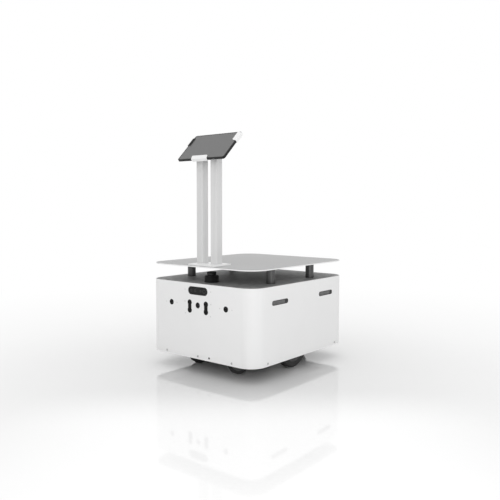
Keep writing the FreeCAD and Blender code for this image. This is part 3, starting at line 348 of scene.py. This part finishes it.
flange_paint = powder_coat("flange_powder_coat", (0.88, 0.88, 0.88), (0.85, 0.85, 0.85),
                           0.35, 1500.0, 0.00003)
dress("mast_flange", flange_paint, 0.0004)
flange_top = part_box("mast_flange")[1][2]
mast_y = -0.227
post_x = 0.0335
flange_screw_x, flange_screw_y = 0.050, 0.040
flange_screw = ((0.0025, -0.0080, 16), (0.0025, -0.0027, 16), (0.0050, 0.0, 32),
                (0.0028, 0.0, 32), (0.0023, 0.0, 6), (0.0023, -0.0016, 6))
flange_heads = bmesh.new()
for side in (-1, 1):
    for end in (-1, 1):
        place = Matrix.Translation((side * flange_screw_x, mast_y + end * flange_screw_y,
                                    flange_top - head_sink))
        add_screw(flange_heads, place, flange_screw)
bmesh.ops.recalc_face_normals(flange_heads, faces=flange_heads.faces)
make_piece(flange_heads, "flange_socket_screws", flange_paint, "chassis")

post_paint = powder_coat("post_powder_coat", (0.74, 0.74, 0.74), (0.68, 0.68, 0.68),
                         0.38, 1300.0, 0.00004)
streaks = post_paint.noise(1.0, 4.0, post_paint.stretched((90.0, 90.0, 2.5)))
post_paint.put("Base Color", post_paint.mix(post_paint.ramp(streaks, 0.3, 0.7) * 0.35,
                                            post_paint.colour, 0.58))
bead_paint = powder_coat("weld_bead_coat", (0.84, 0.84, 0.84), (0.78, 0.78, 0.78), 0.38, 900.0)
ripple = bead_paint.maths("SINE", (bead_paint.axis("X") + bead_paint.axis("Y")) * 2600.0)
bead_paint.relief(ripple, 0.0004)
bead_side, bead_height = 0.0350, 0.0024
for side, sign in (("left", -1), ("right", 1)):
    dress("mast_post_" + side, post_paint, 0.0003)
    bead = bmesh.new()
    bmesh.ops.create_cube(bead, size=1.0, matrix=(
        Matrix.Translation((sign * post_x, mast_y, flange_top + bead_height / 2))
        @ Matrix.Diagonal((bead_side, bead_side, bead_height, 1.0))))
    corners = [edge for edge in bead.edges
               if abs(edge.verts[0].co.z - edge.verts[1].co.z) > bead_height / 2]
    bmesh.ops.bevel(bead, geom=corners, offset=0.0052, segments=5, profile=0.5, material=-1,
                    affect="EDGES")
    upper = [edge for edge in bead.edges
             if min(vert.co.z for vert in edge.verts) > flange_top + bead_height / 2]
    bmesh.ops.bevel(bead, geom=upper, offset=0.0021, segments=4, profile=0.5, material=-1,
                    affect="EDGES")
    make_piece(bead, "weld_bead_" + side, bead_paint, "chassis")

black_coat = powder_coat("black_powder_coat", (0.032, 0.032, 0.032), (0.020, 0.020, 0.020),
                         0.45, 900.0, 0.00006)
dress("mast_head", black_coat, 0.0006)

moulded_black = Finish("moulded_black")
grain = moulded_black.noise(2200.0, 2.0)
haze = moulded_black.noise(14.0, 3.0)
moulded_black.put("Base Color", moulded_black.mix(haze, 0.009, 0.018))
moulded_black.put("Roughness", haze * 0.16 + 0.40)
moulded_black.relief(grain, 0.00004)
moulded_black.shader.inputs["Specular IOR Level"].default_value = 0.3
dress("tilt_pin", moulded_black, 0.0008, 3)


# ---- Tablet ----
# Moulded grey case with a matt glass panel, a small camera eye in its border, push keys on
# its upper edge, a port on its lower edge and a rear camera.  Drawn flat on the face, then
# turned to the rest tilt round the tilt pin.

pin_y, pin_z = -0.2061, 0.7754
rest_tilt = radians(44.2)
face_above_pin = 0.0305
on_face = (Matrix.Translation((0.0, pin_y, pin_z)) @ Matrix.Rotation(rest_tilt, 4, "X")
           @ Matrix.Translation((0.0, 0.0, face_above_pin)))
case_grey = Finish("tablet_case_grey")
case_grain = case_grey.noise(2600.0, 2.0)
case_haze = case_grey.noise(20.0)
case_grey.put("Base Color", case_grey.mix(case_haze, 0.012, 0.022))
case_grey.shader.inputs["Specular IOR Level"].default_value = 0.2
case_grey.put("Roughness", case_haze * 0.12 + 0.38)
case_grey.relief(case_grain, 0.00003)
dress("tablet_body", case_grey, 0.0004)

panel_grey = Finish("tablet_panel", Coat_Roughness=0.2, Coat_Weight=0.15)
panel_grey.shader.inputs["Specular IOR Level"].default_value = 0.25
smear = panel_grey.noise(26.0, 4.0)
across = panel_grey.maths("ABSOLUTE", panel_grey.axis("X"))
border = panel_grey.ramp(across, 0.1030, 0.1034)
panel_grey.put("Base Color", panel_grey.mix(border, panel_grey.mix(smear, 0.150, 0.175), 0.15))
panel_grey.put("Roughness", smear * 0.2 + 0.42)
dress("tablet_screen", panel_grey, 0.0)


def turned_piece(name, profile, place, finish, body, steps=40):
    """Spins a profile of (radius, height) round Z of the place.

    The profile starts and ends on Z, or it is a closed ring that stays clear of Z.
    """
    shape = bmesh.new()
    verts = [shape.verts.new((radius, 0.0, height)) for radius, height in profile]
    edges = [shape.edges.new(pair) for pair in zip(verts, verts[1:])]
    bmesh.ops.spin(shape, geom=verts + edges, cent=(0, 0, 0), axis=(0, 0, 1), angle=2 * pi,
                   steps=steps, use_merge=True)
    bmesh.ops.remove_doubles(shape, verts=shape.verts, dist=same_point)
    bmesh.ops.recalc_face_normals(shape, faces=shape.faces)
    bmesh.ops.transform(shape, matrix=place, verts=shape.verts)
    return make_piece(shape, name, finish, body)


glass_black = Finish("lens_glass", Coat_Weight=1.0, Coat_Roughness=0.02)
depth_tint = glass_black.noise(160.0)
glass_black.put("Base Color", glass_black.mix(depth_tint, (0.004, 0.005, 0.010),
                                              (0.010, 0.008, 0.022)))
glass_black.put("Roughness", depth_tint * 0.05 + 0.05)
eye_profile = ((0.0, -0.0010), (0.0018, -0.0010), (0.0018, 0.0001), (0.0013, 0.0001),
               (0.0009, -0.0002), (0.0, -0.0001))
eye_place = (0.1058, 0.0, 0.0)
turned_piece("tablet_front_eye", eye_profile, on_face @ Matrix.Translation(eye_place),
             glass_black, "tablet_mount", 24)
rear_profile = ((0.0, 0.0), (0.0062, 0.0), (0.0062, -0.0008), (0.0056, -0.0012),
                (0.0044, -0.0012), (0.0040, -0.0008), (0.0, -0.0006))
rear_place = (-0.084, 0.0565, -0.0079)
turned_piece("tablet_rear_camera", rear_profile, on_face @ Matrix.Translation(rear_place),
             glass_black, "tablet_mount")


def pill(name, size, place, finish, body, edge):
    """A block with rounded ends and softened edges, such as a key or a rubber foot."""
    shape = bmesh.new()
    bmesh.ops.create_cube(shape, size=1.0, matrix=Matrix.Diagonal((*size, 1.0)))
    upright = [line for line in shape.edges
               if abs(line.verts[0].co.z - line.verts[1].co.z) > size[2] / 2]
    bmesh.ops.bevel(shape, geom=upright, offset=min(size[:2]) * 0.48, segments=6,
                    profile=0.5, material=-1, affect="EDGES")
    rims = [line for line in shape.edges
            if abs(line.verts[0].co.z - line.verts[1].co.z) < 1e-7]
    bmesh.ops.bevel(shape, geom=rims, offset=edge, segments=2, profile=0.5, material=-1,
                    affect="EDGES")
    bmesh.ops.transform(shape, matrix=place, verts=shape.verts)
    return make_piece(shape, name, finish, body)


case_half = 0.067         # half the case's height
case_middle = -0.004      # the middle of its thickness, below the face


def on_rim(x, up):
    """Z of the place points out of the case's upper (1) or lower (-1) edge."""
    return (on_face @ Matrix.Translation((x, up * case_half, case_middle))
            @ Matrix.Rotation(-up * pi / 2, 4, "X"))


for key, x, length in (("power", 0.072, 0.011), ("volume", 0.044, 0.022)):
    pill("tablet_" + key + "_key", (length, 0.0026, 0.0014), on_rim(x, 1), case_grey,
         "tablet_mount", 0.0003)
pill("tablet_port", (0.0095, 0.0034, 0.0008), on_rim(0.062, -1), glass_black, "tablet_mount",
     0.0001)


# ---- Tablet holder ----
# Folded white sheet with two hooks, riveted together, and a black sprung latch whose
# tongue slides in a guide behind the plate.

clip_paint = powder_coat("clip_powder_coat", (0.90, 0.90, 0.90), (0.87, 0.87, 0.87),
                         0.32, 1500.0, 0.00002)
dress("tablet_holder", clip_paint, 0.0005, 3)
latch_coat = powder_coat("latch_powder_coat", (0.010, 0.010, 0.010), (0.006, 0.006, 0.006),
                         0.6, 900.0, 0.00005, 0.0)
latch_coat.shader.inputs["Specular IOR Level"].default_value = 0.2
dress("tablet_latch", latch_coat, 0.0005, 3)
rivet_profile = ((0.0, 0.0002), (0.0030, 0.0002), (0.0030, -0.0003), (0.0024, -0.0010),
                 (0.0012, -0.0014), (0.0, -0.0015))
rivet_places = ((0.050, 0.040), (0.050, -0.040), (-0.050, -0.040), (-0.010, 0.041))
rivet_height = -0.010     # the back of the holder's sheet, below the tablet's face
for number, (x, y) in enumerate(rivet_places):
    turned_piece("holder_rivet_%d" % number, rivet_profile,
                 on_face @ Matrix.Translation((x, y, rivet_height)), zinc, "tablet_mount",
                 24)


# ---- Scanner ----
# Black moulded foot and cap, and between them a smoked gloss window that flares upwards.
# Fine rings run round the foot.  The drum inside is anodised, with a bright mirror cut.

scanner_black = Finish("scanner_black")
rings = scanner_black.maths("SINE", scanner_black.axis("Z") * 4200.0)
scanner_haze = scanner_black.noise(40.0)
scanner_black.put("Base Color", scanner_black.mix(scanner_haze, 0.007, 0.014))
scanner_black.put("Roughness", scanner_haze * 0.15 + 0.33)
scanner_black.shader.inputs["Specular IOR Level"].default_value = 0.25
scanner_black.relief(rings, 0.0002)
dress("lidar_base", scanner_black, 0.0006, 3)
dress("lidar_cap", moulded_black, 0.0006, 3)
smoked = Finish("smoked_gloss", Coat_Weight=0.1, Coat_Roughness=0.04)
smoked.shader.inputs["Specular IOR Level"].default_value = 0.3
swirl = smoked.noise(30.0)
smoked.put("Base Color", smoked.mix(swirl, 0.006, 0.012))
smoked.put("Roughness", swirl * 0.08 + 0.10)
dress("lidar_window", smoked, 0.0)
drum_metal = Finish("scanner_drum", Metallic=1.0)
mirror_cut = drum_metal.ramp(drum_metal.axis("X"), 0.0030, 0.0034)
drum_grain = drum_metal.noise(600.0)
drum_metal.put("Base Color", drum_metal.mix(mirror_cut, drum_metal.mix(drum_grain, 0.04, 0.07),
                                            0.85))
drum_metal.put("Roughness", drum_grain * 0.1 + 0.15)
dress("lidar_rotor", drum_metal, 0.0001)


# ---- Depth camera ----
# Black bezel pressed into the window opening, a dark gloss pane with faint light rings
# painted on it as painted highlights where the lenses behind it catch the light, and the
# brushed camera body that the bezel clamps from behind.

dress("depth_camera_bezel", moulded_black, 0.0003)
pane_black = Finish("camera_pane")
pane_black.shader.inputs["Specular IOR Level"].default_value = 0.2
pane_y, pane_z = -0.2865, 0.294
pane_lenses = ((0.0295, 0.0065), (-0.0320, 0.0040), (0.0120, 0.0032), (-0.0130, 0.0040))
# Painted highlights: a faint light ring on the pane round each lens behind it.
lenses = 0.0
for x, radius in pane_lenses:
    reach = pane_black.node("VectorMath", {"operation": "DISTANCE"},
                            {0: pane_black.place, 1: (x, pane_y, pane_z)}, "Value")
    ring = (pane_black.ramp(reach, radius - 0.0012, radius - 0.0004)
            - pane_black.ramp(reach, radius, radius + 0.0006))
    lenses = ring + lenses
pane_haze = pane_black.noise(35.0)
pane_black.put("Base Color", pane_black.mix(lenses, pane_black.mix(pane_haze, 0.007, 0.016),
                                            0.06))
pane_black.put("Roughness", pane_haze * 0.12 + 0.14)
dress("depth_camera_window", pane_black, 0.0002)
brushed = Finish("brushed_aluminium", Metallic=1.0)
brush = brushed.noise(1.0, 3.0, brushed.stretched((30.0, 900.0, 2200.0)))
brushed.put("Base Color", brushed.mix(brush, 0.55, 0.68))
brushed.put("Roughness", brush * 0.15 + 0.28)
dress("depth_camera_body", brushed, 0.0003)
dress("depth_camera_lenses", glass_black, 0.0001)


# ---- Front camera ----
# Round black bezel with a conical well down to a domed lens, on a square module behind.
# It looks forward just below the depth camera's window.

dress("front_camera", moulded_black, 0.0003)
dress("front_camera_lens", glass_black, 0.0)


# ---- Sounders ----
# Peanut-shaped black frames round pairs of ultrasonic cans, with fine woven mesh over the
# mouth of each can and green circuit boards behind them.  A rubber grommet stands round each
# mouth on the skirt, and a bridge joins the two of each pair.

dress("sonar_housings", moulded_black, 0.0003)
grommet_rubber = Finish("grommet_rubber")
rubber_haze = grommet_rubber.noise(150.0)
grommet_rubber.put("Base Color", grommet_rubber.mix(rubber_haze, 0.006, 0.012))
grommet_rubber.put("Roughness", rubber_haze * 0.1 + 0.6)
grommet_rubber.shader.inputs["Specular IOR Level"].default_value = 0.2
pair_x, pair_z = 0.0388, 0.2375
half_pitch = 0.01345      # from a pair's middle to each of its mouths
single_x, single_z = 0.130, 0.2437
grommet_ring = ((0.0064, 0.0010), (0.0064, -0.0006), (0.0072, -0.0010), (0.0092, -0.0010),
                (0.0100, -0.0004), (0.0100, 0.0002), (0.0064, 0.0010))
mouths = [(x, pair_z + z) for x in (-pair_x, pair_x) for z in (-half_pitch, half_pitch)]
mouths += [(-single_x, single_z), (single_x, single_z)]
for number, (x, z) in enumerate(mouths):
    turned_piece("sounder_grommet_%d" % number, grommet_ring,
                 Matrix.Translation((x, -front_face, z)) @ Matrix.Rotation(-pi / 2, 4, "X"),
                 grommet_rubber, "chassis")
waist_size = (0.0160, 0.0016, 0.0150)
waist_y = -0.2876
for number, x in enumerate((-pair_x, pair_x)):
    pill("sounder_waist_%d" % number, waist_size, Matrix.Translation((x, waist_y, pair_z)),
         grommet_rubber, "chassis", 0.0004)
can_metal = Finish("sounder_can", Metallic=0.7)
strands = (can_metal.maths("SINE", can_metal.axis("X") * 5200.0)
           * can_metal.maths("SINE", can_metal.axis("Z") * 5200.0))
mouth = can_metal.ramp(can_metal.axis("Y"), -0.2864, -0.2860)
can_metal.put("Base Color", can_metal.mix(mouth, 0.05,
                                          can_metal.mix(can_metal.ramp(strands, -0.2, 0.4),
                                                        0.045, 0.008)))
can_metal.put("Roughness", can_metal.noise(300.0) * 0.2 + 0.35)
can_metal.relief(strands * mouth, 0.0002)
dress("sonar_cans", can_metal, 0.0002)
board_green = Finish("circuit_board")
tracks = board_green.noise(420.0, 1.0, board_green.stretched((1.0, 0.2, 2.6)))
board_green.put("Base Color", board_green.mix(board_green.ramp(tracks, 0.50, 0.54),
                                              (0.006, 0.10, 0.035), (0.015, 0.17, 0.06)))
board_green.put("Roughness", tracks * 0.2 + 0.35)
dress("sonar_boards", board_green, 0.0001)


# ---- Docking eye ----
# Infra-red receiver, a dark red-black dome low on the front.  It sits in a hole of the
# skirt and takes in the dock's beam.

eye_red = Finish("infra_red_eye", Coat_Weight=0.5, Coat_Roughness=0.05)
eye_depth = eye_red.noise(300.0)
eye_red.put("Base Color", eye_red.mix(eye_depth, (0.010, 0.004, 0.004), (0.022, 0.007, 0.006)))
eye_red.put("Roughness", eye_depth * 0.1 + 0.18)
dress("dock_receiver", eye_red, 0.0002)


# ---- Side vents ----
# Black moulded liners in the side slots, with a row of grey slats set back in each, which
# let air in and out of the skirt.

vent_plastic = Finish("vent_plastic")
set_back = 1.0 - vent_plastic.ramp(vent_plastic.maths("ABSOLUTE", vent_plastic.axis("X")),
                                   0.2465, 0.2470)
vent_grain = vent_plastic.noise(1500.0, 2.0)
dusty = vent_plastic.noise(60.0, 4.0)
vent_plastic.put("Base Color", vent_plastic.mix(set_back, 0.03,
                                                vent_plastic.mix(dusty, 0.22, 0.34)))
vent_plastic.put("Roughness", dusty * 0.15 + 0.45)
vent_plastic.relief(vent_grain, 0.00004)
for side in ("left", "right"):
    dress("side_vents_" + side, vent_plastic, 0.0001)


# ---- Rear controls ----
# Pressed dark tray with a red mushroom stop button in a yellow collar, a steel power button
# and a round charging inlet with brass pins.

tray_coat = powder_coat("tray_powder_coat", (0.085, 0.085, 0.085), (0.065, 0.065, 0.065),
                        0.45, 1100.0, 0.00006)
dress("rear_tray", tray_coat, 0.0004)
collar_plastic = Finish("collar_plastic")
stop_side = 1.0 - collar_plastic.ramp(collar_plastic.axis("X"), -0.045, -0.035)
collar_haze = collar_plastic.noise(70.0)
collar_plastic.put("Base Color", collar_plastic.mix(
    stop_side, collar_plastic.mix(collar_haze, 0.03, 0.045),
    collar_plastic.mix(collar_haze, (0.80, 0.50, 0.02), (0.74, 0.45, 0.015))))
collar_plastic.put("Roughness", collar_haze * 0.12 + 0.34)
dress("button_collars", collar_plastic, 0.0005, 3)
stop_red = Finish("stop_button_red", Coat_Weight=0.2, Coat_Roughness=0.15)
red_haze = stop_red.noise(55.0)
stop_red.put("Base Color", stop_red.mix(red_haze, (0.58, 0.012, 0.010), (0.50, 0.010, 0.008)))
stop_red.put("Roughness", red_haze * 0.1 + 0.3)
stop_red.relief(stop_red.noise(1900.0, 2.0), 0.00003)
dress("estop_button", stop_red, 0.0006, 3)
button_steel = Finish("power_button_steel", Metallic=1.0)
tray_z = 0.240
inlet_x = 0.075


def off_line(finish, x, z):
    """Distance from a line that runs along Y."""
    flat = finish.node("Mapping", None, {"Vector": finish.place, "Location": (-x, 0, -z),
                                         "Scale": (1, 0, 1)})
    return finish.node("VectorMath", {"operation": "LENGTH"}, {0: flat}, "Value")


from_axis = off_line(button_steel, 0, tray_z)
lit_ring = (button_steel.ramp(from_axis, 0.0042, 0.0044)
            - button_steel.ramp(from_axis, 0.0052, 0.0054))
turned_marks = button_steel.maths("SINE", from_axis * 24000.0)
button_steel.put("Base Color", button_steel.mix(lit_ring, button_steel.mix(
    turned_marks * 0.5 + 0.5, 0.52, 0.62), (0.05, 0.42, 0.16)))
button_steel.put("Metallic", 1.0 - lit_ring)
button_steel.put("Roughness", turned_marks * 0.04 + 0.27)
dress("power_button", button_steel, 0.0002)
inlet_black = Finish("inlet_black")
pins = (inlet_black.ramp(inlet_black.axis("Y"), 0.2587, 0.2589)
        * (1.0 - inlet_black.ramp(off_line(inlet_black, inlet_x, tray_z), 0.0075, 0.0080)))
inlet_haze = inlet_black.noise(120.0)
inlet_black.put("Base Color", inlet_black.mix(pins, inlet_black.mix(inlet_haze, 0.012, 0.022),
                                              (0.72, 0.50, 0.20)))
inlet_black.put("Metallic", pins)
inlet_black.put("Roughness", inlet_haze * 0.15 + 0.3)
dress("charge_socket", inlet_black, 0.0003)


# ---- Docking contacts ----
# Two gold-plated strips on an insulating block low on the rear, scuffed along their middle
# by the dock's springs.

dress("contact_block", moulded_black, 0.0004)
gold = Finish("gold_plate", Metallic=1.0)
scuffed = gold.noise(1.0, 4.0, gold.stretched((18.0, 1.0, 900.0)))
gold.put("Base Color", gold.mix(scuffed, (0.83, 0.58, 0.22), (0.70, 0.50, 0.22)))
gold.put("Roughness", scuffed * 0.25 + 0.18)
dress("dock_contacts", gold, 0.0002)


# ---- Drive wheels ----
# Solid rubber tyres with three grooves and cross sipes, pressed on black hub motors, and
# the steel angle brackets whose axles they turn on.

tyre_rubber = Finish("tyre_rubber")
scuff = tyre_rubber.noise(60.0, 5.0)
axle_y, axle_z = 0.009, 0.085
sipes_round = 72
wheel_y = tyre_rubber.axis("Y") - axle_y
wheel_z = tyre_rubber.axis("Z") - axle_z
turn = tyre_rubber.maths("ARCTAN2", wheel_z, wheel_y) * (sipes_round / (2 * pi))
out = tyre_rubber.maths("SQRT", wheel_y * wheel_y + wheel_z * wheel_z)
tread = tyre_rubber.ramp(out, 0.0785, 0.0800)
sipe_with_painted_shade = (1.0 - tyre_rubber.ramp(tyre_rubber.maths("PINGPONG", turn, 0.5), 0.05, 0.12)) * tread
# Painted shade: the sipes are painted darker than the tread; the same mask cuts them in as
# grooves.
tyre_rubber.put("Base Color", tyre_rubber.mix(sipe_with_painted_shade, tyre_rubber.mix(scuff, 0.016, 0.034),
                                              0.006))
tyre_rubber.put("Roughness", scuff * 0.2 + 0.6)
tyre_rubber.relief(scuff * 0.12 - sipe_with_painted_shade, 0.0012)
hub_coat = powder_coat("hub_powder_coat", (0.045, 0.045, 0.045), (0.032, 0.032, 0.032), 0.4)
steel = Finish("bracket_steel", Metallic=0.9)
rolled_grain = steel.noise(1.0, 4.0, steel.stretched((260.0, 60.0, 60.0)))
steel.put("Base Color", steel.mix(rolled_grain, 0.28, 0.42))
steel.put("Roughness", rolled_grain * 0.2 + 0.32)
for side in ("left", "right"):
    dress("drive_tyre_" + side, tyre_rubber, 0.0004)
    dress("drive_hub_" + side, hub_coat, 0.0005)
    dress("drive_bracket_" + side, steel, 0.0005)


# ---- Casters ----
# Swivel casters under the chassis plate: black pressed forks under bearing housings, and
# grey nylon rims with black treads.

rim_radius = 0.0280
dress("caster_mounts", black_coat, 0.0004)
for corner in ("fl", "fr", "rl", "rr"):
    dress("caster_fork_" + corner, black_coat, 0.0004)
    low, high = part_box("caster_wheel_" + corner)
    centre = [(a + b) / 2 for a, b in zip(low, high)]
    tread_black = Finish("caster_rubber_" + corner)
    wear = tread_black.noise(70.0, 4.0)
    reach = tread_black.node("VectorMath", {"operation": "DISTANCE"},
                             {0: tread_black.place, 1: centre}, "Value")
    outside = tread_black.ramp(reach, rim_radius, rim_radius + 0.0008)
    tread_black.put("Base Color", tread_black.mix(outside, tread_black.mix(wear, 0.07, 0.10),
                                                  tread_black.mix(wear, 0.012, 0.026)))
    tread_black.put("Roughness", wear * 0.2 + 0.5)
    tread_black.relief(wear, 0.0001)
    dress("caster_wheel_" + corner, tread_black, 0.0005)


# ---- Pan and frame ----
# Galvanised pan that closes the skirt's foot, and the coated plate and zinc uprights that
# carry the deck's load past the skirt.

galvanised = Finish("galvanised_sheet", Metallic=0.8)
spangle = galvanised.node("TexVoronoi", None, {"Vector": galvanised.place, "Scale": 90.0},
                          "Color")
spangled = galvanised.node("SeparateColor", None, {0: spangle})
galvanised.put("Base Color", galvanised.mix(spangled, 0.20, 0.30))
galvanised.put("Roughness", spangled * 0.25 + 0.3)
dress("bottom_pan", galvanised, 0.0004)
plate_coat = powder_coat("plate_powder_coat", (0.11, 0.11, 0.115), (0.09, 0.09, 0.095))
dress("chassis_plate", plate_coat, 0.0005)
dress("frame_uprights", zinc, 0.0004)


# ---- Battery and electronics ----
# Blue-grey moulded pack under a zinc strap, and black anodised cases with cooling fins for
# the computer and the motor driver.

pack_plastic = Finish("battery_plastic")
pack_haze = pack_plastic.noise(24.0, 4.0)
pack_plastic.put("Base Color", pack_plastic.mix(pack_haze, (0.045, 0.06, 0.085),
                                                (0.06, 0.075, 0.10)))
pack_plastic.put("Roughness", pack_haze * 0.15 + 0.42)
pack_plastic.relief(pack_plastic.noise(1700.0, 2.0), 0.00005)
dress("battery_pack", pack_plastic, 0.0005)
dress("battery_clamp", zinc, 0.0003)
fin_black = Finish("fin_anodised", Metallic=0.7)
extruded = fin_black.noise(1.0, 3.0, fin_black.stretched((700.0, 12.0, 700.0)))
fin_black.put("Base Color", fin_black.mix(extruded, 0.02, 0.045))
fin_black.put("Roughness", extruded * 0.15 + 0.3)
for node in ("onboard_computer", "motor_driver"):
    dress(node, fin_black, 0.0003)


# ---- Floor and light ----
# A pale glossy studio floor with a soft shadow painted on it round the robot, and a
# lighter patch painted in front of it as a painted reflection, under an even soft sky.
# One soft strip lamp beside the camera lights the rounded corner.

floor_half = 60.0
floor_mesh = bpy.data.meshes.new("studio_floor")
floor_shape = bmesh.new()
bmesh.ops.create_grid(floor_shape, x_segments=1, y_segments=1, size=floor_half)
floor_shape.to_mesh(floor_mesh)
floor_shape.free()
floor = bpy.data.objects.new("studio_floor", floor_mesh)
bpy.context.scene.collection.objects.link(floor)
floor_white = Finish("studio_floor_white", Roughness=0.05, IOR=1.7)
shade_centre = (0.1, -0.15, 0.0)
view_x, view_y = 0.63, 0.776       # along the floor, from the robot to the camera
from_robot = floor_white.node("VectorMath", {"operation": "DISTANCE"},
                              {0: floor_white.place, 1: shade_centre}, "Value")
nearer = floor_white.axis("X") * view_x - floor_white.axis("Y") * view_y
aside = floor_white.maths("ABSOLUTE", floor_white.axis("X") * view_y
                          + floor_white.axis("Y") * view_x)
# Painted reflection: a lighter patch on the floor in front of the robot.
painted_reflection_patch = floor_white.ramp(nearer, 0.38, 0.75) * (1.0 - floor_white.ramp(aside, 0.25, 0.90))
# Painted shadow: the floor's colour darkens towards the robot.
pale_with_painted_shadow = floor_white.mix(painted_reflection_patch, floor_white.mix(floor_white.ramp(from_robot, 0.15, 1.5),
                                                 0.76, 0.88), 0.98)
floor_white.put("Base Color", pale_with_painted_shadow)
glow = floor_white.node("Emission", None, {"Color": (1.0, 1.0, 1.0, 1.0)})
seen = floor_white.node("LightPath", None, None, "Is Camera Ray")
far = floor_white.ramp(from_robot, 0.45, 2.6) * seen
# The painted reflection patch also glows a little for the camera.
far = floor_white.maths("MAXIMUM", far, painted_reflection_patch * seen * 0.35)
blend = floor_white.node("MixShader", None, {0: far, 2: glow})
floor_white.tree.links.new(floor_white.shader.outputs[0], blend.socket.node.inputs[1])
floor_white.tree.links.new(blend.socket,
                           floor_white.tree.nodes["Material Output"].inputs["Surface"])
floor_mesh.materials.append(floor_white.material)

strip = bpy.data.lights.new("corner_strip", "AREA")
strip.shape = "RECTANGLE"
strip.size = 0.5
strip.size_y = 1.4
strip.energy = 9.0
strip_lamp = bpy.data.objects.new("corner_strip", strip)
strip_lamp.location = (2.30, -1.95, 0.90)
lamp_aim = Vector((0.0, 0.0, 0.2)) - strip_lamp.location
strip_lamp.rotation_euler = lamp_aim.to_track_quat("-Z", "Y").to_euler()
bpy.context.scene.collection.objects.link(strip_lamp)

sky = bpy.data.worlds.new("studio_sky")
bpy.context.scene.world = sky
sky.use_nodes = True
sky.node_tree.nodes["Background"].inputs["Color"].default_value = (1.0, 1.0, 1.0, 1.0)

bpy.context.scene.view_settings.view_transform = "Standard"
